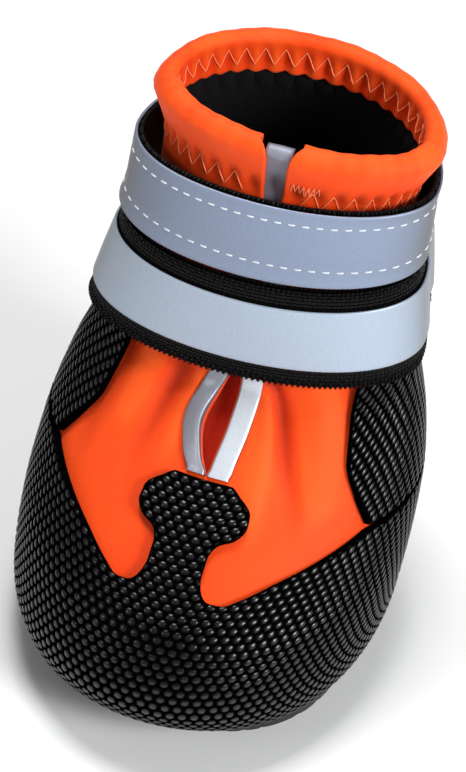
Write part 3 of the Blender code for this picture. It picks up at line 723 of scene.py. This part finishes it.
# Bumper. A coarse black weave of glossy nubs, cut as one piece with a bone-shaped tongue and sewn round the
# foot over the softshell, down under the rubber sole.
SEAM_HEIGHT = 45.5 * MM
BUMPER_BACK_HEIGHT = 28 * MM
BUMPER_THICKNESS = 1.4 * MM
NUB_PITCH = 2.4 * MM
NUB_ROW = 1.66 * MM
NUB_HEIGHT = 0.5 * MM
WEAVE_STEP = 0.40 * MM
GIRTH_HEIGHT = 22 * MM
CLOTH_PER_HEIGHT = 1.7
# Right half of the window's lower edge from the tongue's head outwards:
# sideways as a share of half the ball width, height as a share of the seam's height
WINDOW_EDGE = (
    (0.00, TONGUE_HEAD_HEIGHT / SEAM_HEIGHT),
    (0.145, TONGUE_HEAD_HEIGHT / SEAM_HEIGHT),
    (0.205, 1.145),
    (0.285, 1.092),
    (0.290, 1.060),
    (0.250, 1.023),
    (0.175, 1.002),
    (0.145, 0.965),
    (0.145, 0.912),
    (0.165, 0.865),
    (0.215, 0.835),
    (0.285, 0.830),
    (0.365, 0.850),
    (0.520, 0.900),
    (0.690, 0.950),
    (0.840, 1.000),
)
# Length of cloth that one degree round the foot stands for
LENGTH_OF_DEGREE = 0.7 * MM
# From the window's corner to the heel: degrees around, height as a share of the seam's height
BACK_EDGE = ((100, 1.0), (122, 0.93), (145, 0.72), (160, BUMPER_BACK_HEIGHT / SEAM_HEIGHT))


def path_lengths(points):
    """Length of the path from its first point to each of its points."""
    return np.concatenate([[0], np.cumsum(np.linalg.norm(np.diff(points, axis=0), axis=1))])


def smooth_line(points, count):
    """Curve through pattern points that doesn't swing past them, as evenly spaced points."""
    points = np.asarray(points, float)
    return even_curve(points, path_lengths(points * (LENGTH_OF_DEGREE, 1.0)), count)


def front_points(rows, side):
    """Pattern points of a table of shares, on one side of the front."""
    rows = np.asarray(rows)
    height = rows[:, 1] * SEAM_HEIGHT
    return np.stack([front_angle(side * rows[:, 0] * BALL_WIDTH / 2, height), height], -1)


def girth_lengths():
    """Angles round the foot and the length of cloth from the front to each, at the ball's height."""
    angles = np.linspace(-180, 180, 1441)
    section = last_surface(angles, GIRTH_HEIGHT)
    lengths = path_lengths(section)
    return angles, lengths - lengths[-1] / 2


def walk_up(angles, step, count):
    """Heights reached by walking up the last in equal steps of cloth, for each angle."""
    probe = 0.05 * MM
    height = np.full(len(angles), LAST_FOOT)
    heights = [height]
    for _ in range(count - 1):
        stretch = np.linalg.norm(last_surface(angles, height + probe) - last_surface(angles, height), axis=-1)
        half = height + step / 2 * probe / stretch
        stretch = np.linalg.norm(last_surface(angles, half + probe) - last_surface(angles, half), axis=-1)
        height = height + step * probe / stretch
        heights.append(height)
    return np.array(heights)


def is_inside(u, v, outline):
    """Even-odd test of points against a closed outline."""
    x, y = np.asarray(outline).T
    crossings = np.zeros(u.shape, int)
    for start in range(len(x)):
        x0, y0, x1, y1 = x[start - 1], y[start - 1], x[start], y[start]
        if y0 == y1:
            continue
        spans = (v < max(y0, y1)) & (v >= min(y0, y1))
        crossings += spans & (u < x0 + (v - y0) * (x1 - x0) / (y1 - y0))
    return crossings % 2 == 1


def cut_cloth(name, u, v, outline, place, relief, thickness, material, closed=False):
    """Cut a fine grid to an outline, ease its edge onto the outline and turn the edge down by a thickness.

    place maps (u, v, out) to points; relief is the height of the surface at each grid point.
    """
    rows, columns = u.shape
    quads = grid_quads(rows, columns - 1, True) if closed else grid_quads(rows, columns)
    if closed:
        u, v, relief = u[:, :-1], v[:, :-1], relief[:, :-1]
    u, v, relief = u.ravel().copy(), v.ravel().copy(), relief.ravel().copy()
    wraps = np.ptp(u[quads], axis=1) > 180
    centre_u = np.where(wraps, 179.9, u[quads].mean(axis=1))
    quads = quads[is_inside(centre_u, v[quads].mean(axis=1), outline)]
    start = quads.ravel()
    finish = np.roll(quads, -1, axis=1).ravel()
    size = len(u)
    border = ~np.isin(finish * size + start, start * size + finish)
    border_start, border_finish = start[border], finish[border]
    edge_points = np.unique(border_start)
    line = place(outline[:, 0], outline[:, 1], 0.0)
    spots = place(u[edge_points], v[edge_points], 0.0)
    nearest = np.empty(len(edge_points), int)
    for block in range(0, len(edge_points), 200):
        gaps = np.linalg.norm(spots[block:block + 200, None] - line[None], axis=-1)
        nearest[block:block + 200] = np.argmin(gaps, axis=1)
    u[edge_points], v[edge_points] = outline[nearest].T
    relief[edge_points] *= 0.4
    points = place(u, v, relief)
    skirt = place(u[edge_points], v[edge_points], -thickness)
    lower = np.full(size, -1)
    lower[edge_points] = size + np.arange(len(edge_points))
    sides = np.stack([border_finish, border_start, lower[border_start], lower[border_finish]], -1)
    points = np.concatenate([points, skirt])
    values = np.concatenate([relief, np.zeros(len(edge_points))])
    return add_surface(name, points, np.concatenate([quads, sides]), material, relief=values)


def nub_domes(along, up):
    """Weave height from 0 to 1: the highest of the oval domes near a point, in staggered rows."""
    row = np.round(up / NUB_ROW)
    height = np.zeros(np.shape(along))
    for neighbour in (-1, 0, 1):
        this_row = row + neighbour
        column = along / NUB_PITCH - 0.5 * (this_row % 2)
        off_along = (column - np.round(column)) * NUB_PITCH
        off_up = up - this_row * NUB_ROW
        dome = 1 - (off_along / (0.5 * NUB_PITCH)) ** 2 - (off_up / (0.6 * NUB_ROW)) ** 2
        height = np.maximum(height, np.sqrt(np.clip(dome, 0, None)))
    return height


def weave_material():
    """Black weave: matt between the nubs, with painted shade darkening the colour towards the valleys, and a
    soft gloss on their tops.
    """
    material, tree, shader = new_material("nubby_weave", (0.003, 0.003, 0.003), 0.27)
    relief, scale, gloss = add_nodes(tree, "Attribute", "Math", "MapRange")
    relief.attribute_name = "relief"
    scale.operation = "DIVIDE"
    scale.inputs[1].default_value = NUB_HEIGHT
    tree.links.new(relief.outputs["Fac"], scale.inputs[0])
    # painted shade: the colour darkens from the nub tops down into the valleys
    stops = ((0.35, (0.0006, 0.0006, 0.0006)), (1.0, (0.003, 0.003, 0.0035)))
    tree.links.new(add_tones(tree, scale.outputs[0], stops), shader.inputs["Base Color"])
    gloss.inputs["From Min"].default_value = 0.66
    gloss.inputs["To Min"].default_value = 0.0
    gloss.inputs["To Max"].default_value = 0.6
    tree.links.new(scale.outputs[0], gloss.inputs["Value"])
    tree.links.new(gloss.outputs["Result"], shader.inputs["Specular IOR Level"])
    return material


def over_upper(around, height, out):
    """Point over the last, with its distance counted from the cloth's outer face."""
    return over_last(around, height, CLEARANCE + BUMPER_THICKNESS + out)


def weave_grid(low_angle, high_angle, high):
    """Angles, heights and relief of a grid with even steps of cloth, up to a height."""
    angles, lengths = girth_lengths()
    low_length, high_length = np.interp((low_angle, high_angle), angles, lengths)
    count = round((high_length - low_length) / WEAVE_STEP)
    columns = np.interp(np.linspace(low_length, high_length, count + 1), lengths, angles)
    rows = int(CLOTH_PER_HEIGHT * high / WEAVE_STEP)
    heights = walk_up(columns, WEAVE_STEP, rows)
    keep = heights.min(axis=1) < high
    angle = np.broadcast_to(columns[None], heights.shape)
    spots = last_surface(angle, np.minimum(heights, BOOT_HEIGHT - MM))
    stride = np.linalg.norm(np.diff(spots, axis=1, prepend=spots[:, :1]), axis=-1)
    along = np.cumsum(stride, axis=1)
    front = np.array([np.interp(0, columns, row) for row in along])
    along = along - front[:, None] + np.interp(0, angles, lengths)
    up = np.broadcast_to(np.arange(rows)[:, None] * WEAVE_STEP, along.shape)
    relief = NUB_HEIGHT * nub_domes(along, up)
    return angle[keep], np.minimum(heights, BOOT_HEIGHT - MM)[keep], relief[keep]


weave = weave_material()
window = smooth_line(front_points(WINDOW_EDGE, 1), 220)
back = [(angle, share * SEAM_HEIGHT) for angle, share in BACK_EDGE] + [(180.0, BUMPER_BACK_HEIGHT)]
right_back = smooth_line([window[-1]] + back, 160)
right = np.concatenate([window, right_back[1:]])
foot_line = np.stack([np.linspace(-180, 180, 361), np.full(361, LAST_FOOT)], -1)
bumper_outline = np.concatenate([foot_line, right[::-1], right[1:] * (-1, 1)])
angle, height, relief = weave_grid(-180, 180, TONGUE_HEAD_HEIGHT + MM)
bumper = cut_cloth(
    "bumper_weave", angle, height, bumper_outline, over_upper, relief, BUMPER_THICKNESS, weave, closed=True
)
stand_in("bumper")

# Side panels. The same weave, cut in two small pieces that run from the bumper's seam up under the lower
# strap and leave the orange window between them.
PANEL_BACK_ANGLE = 132
PANEL_GRID = (35, 148)
PANEL_SEAM = 0.5 * MM
PANEL_UNDER_STRAP = 10 * MM
COLLAR_HEIGHT = 11 * MM
LOWER_STRAP_WIDTH = 25 * MM
STRAP_GAP = 0.8 * MM
UPPER_STRAP_WIDTH = 20.6 * MM
UPPER_STRAP_BOTTOM = BOOT_HEIGHT - COLLAR_HEIGHT - UPPER_STRAP_WIDTH
LOWER_STRAP_BOTTOM = UPPER_STRAP_BOTTOM - STRAP_GAP - LOWER_STRAP_WIDTH
# Front edge, from the bumper's corner up: shares as for the window's edge
PANEL_EDGE = (
    (0.840, 1.020),
    (0.750, 1.140),
    (0.665, 1.270),
    (0.625, 1.400),
    (0.615, 1.690),
)
panel_top = LOWER_STRAP_BOTTOM + PANEL_UNDER_STRAP
for side, sign in (("left", -1), ("right", 1)):
    front = smooth_line(front_points(PANEL_EDGE, 1), 120)
    top = smooth_line([front[-1], (PANEL_BACK_ANGLE, panel_top)], 80)
    seam = [(angle, share * SEAM_HEIGHT + PANEL_SEAM) for angle, share in BACK_EDGE[2::-1]]
    back = smooth_line([top[-1], seam[0]], 60)
    low = smooth_line(seam + [tuple(front[0])], 120)
    outline = np.concatenate([front, top[1:], back[1:], low[1:-1]]) * (sign, 1)
    angle, height, relief = weave_grid(*sorted(sign * angle for angle in PANEL_GRID), panel_top + MM)
    name = "side_weave_" + side
    panel = cut_cloth(name, angle, height, outline, over_upper, relief, BUMPER_THICKNESS, weave)
    stand_in("side_panel_" + side)

# Straps. Black webbing goes once round the boot and fastens on itself at the back; a band of reflective film
# is sewn on it. The lower one is 25 mm webbing with ribbed edges; both stand off where they are slack.
WEBBING_THICKNESS = 1.3 * MM
TAPE_THICKNESS = 0.6 * MM
PATCH_THICKNESS = 1.7 * MM
THIN_WEBBING_THICKNESS = 0.9 * MM
LOWER_STRAP_LOOSE = 0.1 * MM
LOWER_TAPE_WIDTH = 15 * MM
LOWER_STRAP_TILT = 2.3 * MM
LOWER_STRAP_SLACK = 1.4 * MM
UPPER_TAPE_WIDTH = 19.2 * MM
UPPER_STRAP_TILT = 1.9 * MM
UPPER_STRAP_SLACK = 2.2 * MM
UPPER_STRAP_FLARE = 0.9 * MM
CLIMB_ANGLE = 16
CLIMB_BEFORE_PATCH = 20
SLACK_ANGLE = -78
SLACK_SPREAD = 46
STRAP_START_ANGLE = -146
UPPER_PATCH_WIDTH = 36 * MM
UPPER_PATCH_HEIGHT = 17 * MM
LOWER_PATCH_WIDTH = 45 * MM
LOWER_PATCH_HEIGHT = 23 * MM
FREE_END_REACH = 8 * MM
HEEL_WING_THICKNESS = 1.6 * MM
RIB_DEPTH = 0.8 * MM
WEBBING_RIB_SPACING = 1.05 * MM
WEBBING_RIM = 2.6 * MM
STRAP_DEGREE = 0.5 * MM
WEBBING_ROW = 1.3 * MM
FILM_CROWN = 0.12 * MM
OVER_WING = CLEARANCE * 4 + HEEL_WING_THICKNESS + RIB_DEPTH


def strap_layer(strap):
    """Distance of a strap's inner face from the last: it bulges where slack, flares and climbs its patch."""
    climb_start = 180 - front_angle(strap["patch_width"] / 2, strap["middle"]) - CLIMB_BEFORE_PATCH
    over_patch = strap["patch_near"] + PATCH_THICKNESS + CLEARANCE - strap["near"]

    def out_at(around, up):
        bulge = strap["slack"] * bell(around - SLACK_ANGLE, SLACK_SPREAD)
        climb = smooth_step((around - climb_start) / CLIMB_ANGLE)
        flare = strap["flare"] * (0.5 - up / strap["width"]) * (1 - climb)
        return strap["near"] + bulge + flare + over_patch * climb

    return out_at


def tilted(middle, tilt):
    """Height of a strap's middle, which rises towards the side at +X."""
    return lambda around: middle + tilt * np.sin(np.radians(around))


def band_profile(width, thickness, crown, count):
    """Closed cross section of a band, clockwise: rounded edges and an outer face raised by a crown."""
    edge = thickness / 2
    face = np.linspace(-width / 2 + edge, width / 2 - edge, count)
    turn = np.linspace(0, np.pi, 9)[1:-1]
    outer = np.stack([face, thickness + crown * (1 - (2 * face / width) ** 2)], -1)
    top = np.stack([face[-1] + edge * np.sin(turn), edge + edge * np.cos(turn)], -1)
    inner = np.stack([face[::-6], np.zeros(len(face[::-6]))], -1)
    bottom = np.stack([face[0] - edge * np.sin(turn[::-1]), edge + edge * np.cos(turn[::-1])], -1)
    return np.concatenate([outer, top, inner, bottom])


def add_band(name, height_at, around, profile, out_at, material, relief=None):
    """Sweep a closed cross section round the last; relief adds (up, out) shifts to each point."""
    up = height_at(around)[:, None] + profile[None, :, 0]
    out = out_at(around[:, None], profile[None, :, 0]) + profile[None, :, 1]
    if relief is not None:
        shift_up, shift_out = relief(around[:, None], profile[None, :, 0], profile[None, :, 1])
        up = up + shift_up
        out = out + shift_out
    angle = np.broadcast_to(around[:, None], out.shape)
    points = over_last(angle, np.broadcast_to(up, out.shape), out)
    for end in (0, -1):
        centre = points[end].mean(axis=0)
        points[end] = centre + (points[end] - centre) * 0.01
    lengths = path_lengths(points[:, 0])
    uv = np.stack(np.broadcast_arrays(lengths[:, None], profile[None, :, 0]), -1) * 1000
    quads = grid_quads(*out.shape, closed=True)
    return add_surface(name, points, quads, material, uv)


def webbing_relief(width, thickness, edge_height):
    """Ribs across the webbing: its edges are scalloped and its face rises and falls by a little."""
    def shifts(around, v, w):
        beat = np.cos(2 * np.pi * around * STRAP_DEGREE / WEBBING_RIB_SPACING)
        rim = smooth_step((np.abs(v) - width / 2 + WEBBING_RIM) / (1.2 * MM))
        rows = np.cos(2 * np.pi * v / WEBBING_ROW)
        face = np.where(w > 0.6 * thickness, 1.0, 0.0)
        return np.sign(v) * rim * beat * edge_height, face * (beat * (0.08 + 0.22 * rim) + 0.07 * rows) * MM
    return shifts


def webbing_material():
    """Black polyester webbing: a fine grid of floats that shows as small squares."""
    material, tree, shader = new_material("black_webbing", (0.002, 0.002, 0.003), 0.42)
    pattern, floats, gloss = add_nodes(tree, "UVMap", "TexBrick", "MapRange")
    pattern.uv_map = "pattern"
    floats.inputs["Scale"].default_value = 1.0
    floats.inputs["Brick Width"].default_value = 1.2
    floats.inputs["Row Height"].default_value = 0.8
    floats.inputs["Mortar Size"].default_value = 0.14
    floats.inputs["Mortar Smooth"].default_value = 0.6
    floats.inputs["Color1"].default_value = (1, 1, 1, 1)
    floats.inputs["Color2"].default_value = (0.8, 0.8, 0.8, 1)
    floats.inputs["Mortar"].default_value = (0, 0, 0, 1)
    tree.links.new(pattern.outputs["UV"], floats.inputs["Vector"])
    stops = ((0.0, (0.0005, 0.0005, 0.0005)), (1.0, (0.005, 0.005, 0.006)))
    tree.links.new(add_tones(tree, floats.outputs["Color"], stops), shader.inputs["Base Color"])
    gloss.inputs["To Min"].default_value = 0.0
    gloss.inputs["To Max"].default_value = 0.16
    tree.links.new(floats.outputs["Color"], gloss.inputs["Value"])
    tree.links.new(gloss.outputs["Result"], shader.inputs["Specular IOR Level"])
    add_bump(tree, shader, floats.outputs["Color"], 0.9, 0.4 * MM)
    return material


def strip_ends(start, finish, count):
    """Angles along a band with two close rows at each end, where the section closes."""
    inside = np.linspace(start, finish, count)
    return np.concatenate([[start, start + 0.05], inside[1:-1], [finish - 0.05, finish]])


webbing = webbing_material()
upper_film = tape_material("upper_film", (0.29, 0.355, 0.50), (0.11, 0.115, 0.125), 0.45)
lower_film = tape_material("lower_film", (0.47, 0.56, 0.68), (0.20, 0.225, 0.26), 0.40)
STRAP_COLUMNS = ("bottom", "width", "tape_width", "thickness", "near", "slack", "flare", "tilt",
                 "patch_width", "patch_height", "patch_near", "scallop")
STRAPS = {
    "lower": (LOWER_STRAP_BOTTOM, LOWER_STRAP_WIDTH, LOWER_TAPE_WIDTH, WEBBING_THICKNESS,
              CLEARANCE * 2 + BUMPER_THICKNESS + LOWER_STRAP_LOOSE, LOWER_STRAP_SLACK, 0, LOWER_STRAP_TILT,
              LOWER_PATCH_WIDTH, LOWER_PATCH_HEIGHT, OVER_WING, 0.16 * MM),
    "upper": (UPPER_STRAP_BOTTOM, UPPER_STRAP_WIDTH, UPPER_TAPE_WIDTH, THIN_WEBBING_THICKNESS,
              CLEARANCE * 3 + TAPE_THICKNESS, UPPER_STRAP_SLACK, UPPER_STRAP_FLARE, UPPER_STRAP_TILT,
              UPPER_PATCH_WIDTH, UPPER_PATCH_HEIGHT, CLEARANCE, 0.05 * MM),
}
films = {"lower": lower_film, "upper": upper_film}
straps = {}
for name, row in STRAPS.items():
    strap = dict(zip(STRAP_COLUMNS, row))
    strap["middle"] = strap["bottom"] + strap["width"] / 2
    strap["near"] += strap["flare"] / 2
    strap["height_at"] = tilted(strap["middle"], strap["tilt"])
    strap["out_at"] = strap_layer(strap)
    strap["finish"] = 180 - front_angle(FREE_END_REACH, strap["middle"])
    straps[name] = strap
    around = strip_ends(STRAP_START_ANGLE, strap["finish"], 1100)
    thick = strap["thickness"]
    profile = band_profile(strap["width"] - 0.4 * MM, thick, 0.0, 26)
    relief = webbing_relief(strap["width"], thick, strap["scallop"])
    band = add_band(name + "_webbing", strap["height_at"], around, profile, strap["out_at"], webbing, relief)
    stand_in(name + "_strap")
    around = strip_ends(STRAP_START_ANGLE, strap["finish"], 420)
    profile = band_profile(strap["tape_width"], TAPE_THICKNESS, FILM_CROWN, 26) + (0, thick + CLEARANCE)
    tape = add_band(name + "_film", strap["height_at"], around, profile, strap["out_at"], films[name])
    stand_in(name + "_reflector")

# Stitches of the upper strap. Two rows of white lockstitch hold the film; each stitch sinks into it at its
# ends, where the needle leaves a hole; dark threads of painted shade run from each stitch's end across the
# gap.
STITCH_LENGTH = 1.7 * MM
STITCH_STEP = 2.75 * MM
STITCH_ROWS = (0.31, -0.26)
STITCH_RADIUS = 0.19 * MM
STITCH_SINK = 0.22 * MM
HOLE_RADIUS = 0.27 * MM
# painted shade of the needle holes
hole_shade, _, _ = new_material("needle_hole_shade", (0.012, 0.014, 0.02), 0.8, specular=0.1)
white_thread, _, _ = new_material("white_thread", (0.80, 0.82, 0.86), 0.5)
strap = straps["upper"]
girth_angles = np.linspace(STRAP_START_ANGLE + 2, strap["finish"] - 2, 2000)
face = over_last(girth_angles, strap["height_at"](girth_angles), strap["out_at"](girth_angles, 0))
lengths = path_lengths(face)
starts = np.arange(STITCH_STEP, lengths[-1] - STITCH_STEP, STITCH_STEP)
share = np.linspace(0, 1, 7)
angle = np.interp(starts[:, None] + share[None] * STITCH_LENGTH, lengths, girth_angles)
sink = STITCH_SINK * (2 * share - 1) ** 4
film_face = strap["thickness"] + CLEARANCE + TAPE_THICKNESS + FILM_CROWN
centres, normals = [], []
for row in STITCH_ROWS:
    up = row * strap["tape_width"]
    height = strap["height_at"](angle) + up
    centres.append(over_last(angle, height, strap["out_at"](angle, up) + film_face - sink))
    normals.append(last_normal(angle, height))
centres, normals = np.concatenate(centres), np.concatenate(normals)
gap_share = np.linspace(0, 1, 5)[:, None]
ahead = unit(centres[:, -1] - centres[:, -2])[:, None]
gaps = centres[:, -1:] + ahead * gap_share * (STITCH_STEP - STITCH_LENGTH)
gap_normals = np.repeat(normals[:, -1:], len(gap_share), axis=1)
# painted shade of the needle holes: a dark thread from each stitch's end across the gap to the next
needle_hole_shade = add_thread("needle_hole_shade", gaps, gap_normals, HOLE_RADIUS, hole_shade)
stitches = add_thread("strap_stitches", centres, normals, STITCH_RADIUS, white_thread)

# Loop patches. Dense black pile sewn to the back of the shaft; the straps' hook ends press onto it.
PATCH_END_GAP = 0.8


def flat_layer(around, up):
    """No bulge: the patch lies evenly on the cloth."""
    return np.zeros(np.broadcast(around, up).shape)


def pile_material():
    """Deep black loops."""
    material, tree, shader = new_material("loop_pile", (0.006, 0.006, 0.007), 0.95, specular=0.15)
    loops = object_texture(tree, "TexVoronoi", 1400)
    add_bump(tree, shader, loops.outputs["Distance"], 0.9, 0.7 * MM)
    return material


pile = pile_material()
for name, strap in straps.items():
    start = 180 - front_angle(strap["patch_width"] / 2, strap["middle"])
    around = strip_ends(start, 360 + STRAP_START_ANGLE - PATCH_END_GAP, 160)
    profile = band_profile(strap["patch_height"], PATCH_THICKNESS, 0.0, 40) + (0, strap["patch_near"])
    patch = add_band(name + "_pile", strap["height_at"], around, profile, flat_layer, pile)
    stand_in(name + "_loop_patch")

# Outsole. Moulded black rubber with herringbone ribs, one sheet that is flat under the foot and curls up the
# heel into a narrow wing with a bare oval on it.
SOLE_WIDTH = 72 * MM
HEEL_WING_WIDTH = 43 * MM
HEEL_CORNER_RADIUS = 13 * MM
SOLE_TOE_INSET = 11.5 * MM
SOLE_PAST_HEEL = 1.5 * MM
THIN_START = 0.80
THIN_SPREAD = 0.30
LEAST_LEAN = 0.4
SOLE_LENGTH = TOE_REACH - SOLE_TOE_INSET + HEEL_REACH + SOLE_PAST_HEEL
WING_BELOW_STRAP = 2 * MM
WING_TOP_HEIGHT = LOWER_STRAP_BOTTOM - WING_BELOW_STRAP
WING_FACE = CLEARANCE * 3 + BUMPER_THICKNESS + HEEL_WING_THICKNESS + RIB_DEPTH
WING_SETTLE_HEIGHT = 12 * MM
RIB_PITCH = 4.0 * MM
RIB_TOP = 2.1 * MM
CHEVRON_WIDTH = 12 * MM
CHEVRON_RISE = 6 * MM
OVAL_WIDTH = 22 * MM
OVAL_RISE = 14.5 * MM
OVAL_HEIGHT = 38 * MM
OVAL_RIM = 0.45 * MM
OVAL_SINK = 0.35 * MM
SOLE_STEP = 0.5 * MM
SOLE_TOE = LAST_SHIFT - TOE_REACH + SOLE_TOE_INSET
# Share of the sole's length, share of half its width
SOLE_OUTLINE = (
    (0.000, 0.14),
    (0.018, 0.34),
    (0.055, 0.55),
    (0.115, 0.74),
    (0.200, 0.89),
    (0.300, 0.97),
    (0.420, 1.00),
    (0.560, 0.985),
    (0.700, 0.94),
    (0.800, 0.875),
    (0.865, 0.810),
)
# Share of the sole's length, share of the way from the wing's width to the shoulder's
HEEL_TAPER = ((0.885, 0.55), (0.905, 0.34), (0.945, 0.15), (1.000, 0.03))


def heel_surface(x, height, out):
    """Point behind the last at a sideways distance and height, a distance off its surface."""
    around = 180 - front_angle(x, height)
    lean = np.maximum(last_normal(around, height)[..., 1], LEAST_LEAN)
    y = last_surface(around, height)[..., 1] + out / lean
    return np.stack([x, y, height], -1)


def curl_start(x):
    """Distance from the toe at which the sheet starts to curl up, at a sideways distance."""
    corner = np.full(np.shape(x), HEEL_CORNER_RADIUS)
    return heel_surface(x, corner, WING_FACE)[..., 1] - HEEL_CORNER_RADIUS - SOLE_TOE


def wing_along(x, height):
    """Distance from the toe, along the sheet, of a height on the wing."""
    return curl_start(x) + HEEL_CORNER_RADIUS * math.pi / 2 + height - HEEL_CORNER_RADIUS


def sole_sheet(x, along, up):
    """Point of the curled sheet: sideways, distance from the toe, and depth in from the rib tops."""
    x, along, up = np.broadcast_arrays(x, along, up)
    flat_length = curl_start(x)
    y = SOLE_TOE + along
    flat = np.stack([x, y, sole_line(y) + up], -1)
    turn = np.clip((along - flat_length) / HEEL_CORNER_RADIUS, 0, np.pi / 2)
    radius = HEEL_CORNER_RADIUS - up
    curl_y = SOLE_TOE + flat_length + radius * np.sin(turn)
    curl = np.stack([x, curl_y, HEEL_CORNER_RADIUS - radius * np.cos(turn)], -1)
    height = HEEL_CORNER_RADIUS + np.maximum(along - wing_along(x, HEEL_CORNER_RADIUS), 0)
    settle = smooth_step((height - BUMPER_BACK_HEIGHT) / WING_SETTLE_HEIGHT)
    wing = heel_surface(x, height, WING_FACE - up - settle * (BUMPER_THICKNESS + CLEARANCE))
    on_flat = (along <= flat_length)[..., None]
    on_curl = (turn < np.pi / 2)[..., None]
    return np.where(on_flat, flat, np.where(on_curl, curl, wing))


def chevron(x):
    """Zigzag across the sole: rises over one width and falls over the next."""
    place = (x / CHEVRON_WIDTH) % 2
    return CHEVRON_RISE * np.where(place <= 1, place, 2 - place)


def rib_depth(x, along):
    """Depth below the rib tops: flat tops and rounded grooves, and a sunk oval with a rim level with them."""
    place = (along - chevron(x)) % RIB_PITCH
    off_top = np.maximum(np.abs(place - RIB_PITCH / 2) - RIB_TOP / 2, 0)
    groove = (RIB_PITCH - RIB_TOP) / 2
    ribs = RIB_DEPTH * smooth_step(off_top / groove)
    from_oval = np.hypot(x / (OVAL_WIDTH / 2), (along - wing_along(0, OVAL_HEIGHT)) / (OVAL_RISE / 2))
    rim = np.abs(from_oval - 1) * OVAL_RISE / 2 < OVAL_RIM
    return np.where(rim, 0, np.where(from_oval < 1, OVAL_SINK, ribs))


def rubber_material():
    """Black rubber: satin, with a fine grain as bump."""
    material, tree, shader = new_material("sole_rubber", (0.016, 0.016, 0.018), 0.5, specular=0.45)
    grain = object_texture(tree, "TexNoise", 900)
    add_bump(tree, shader, grain.outputs["Fac"], 0.15, 0.15 * MM)
    return material


half = [(share * SOLE_WIDTH / 2, along * SOLE_LENGTH) for along, share in SOLE_OUTLINE]
shoulder, wing_half = half[-1][0], HEEL_WING_WIDTH / 2
half += [(wing_half + (shoulder - wing_half) * share, along * SOLE_LENGTH) for along, share in HEEL_TAPER]
half = np.array([(0.0, 0.0)] + half)
half = even_curve(half, path_lengths(half), 400)
wing_corner = wing_along(np.array(wing_half), WING_TOP_HEIGHT)
wing_side = np.stack([np.full(120, wing_half), np.linspace(half[-1, 1], wing_corner, 120)], -1)
top_x = np.linspace(wing_half, 0, 50)
top_edge = np.stack([top_x, wing_along(top_x, WING_TOP_HEIGHT)], -1)
half = np.concatenate([half, wing_side[1:], top_edge[1:]])
sole_outline = np.concatenate([half, half[-2:0:-1] * (-1, 1)])
sole_x, sole_along = np.meshgrid(
    np.arange(-SOLE_WIDTH / 2 - SOLE_STEP, SOLE_WIDTH / 2 + 2 * SOLE_STEP, SOLE_STEP),
    np.arange(-SOLE_STEP, top_edge[-1, 1] + 2 * SOLE_STEP, SOLE_STEP),
)


def sole_place(x, along, up):
    """Sheet with its outer side down: up is the distance out of the tread, below 0 on the inner side."""
    thin = smooth_step((along / SOLE_LENGTH - THIN_START) / THIN_SPREAD)
    inner_depth = SOLE_THICKNESS + (HEEL_WING_THICKNESS + RIB_DEPTH - SOLE_THICKNESS) * thin
    return sole_sheet(x, along, np.where(np.asarray(up) < 0, inner_depth, RIB_DEPTH - up))


outsole = cut_cloth(
    "outsole_rubber", sole_x[:, ::-1], sole_along, sole_outline, sole_place,
    RIB_DEPTH - rib_depth(sole_x[:, ::-1], sole_along), SOLE_THICKNESS, rubber_material(),
)
stand_in("outsole")
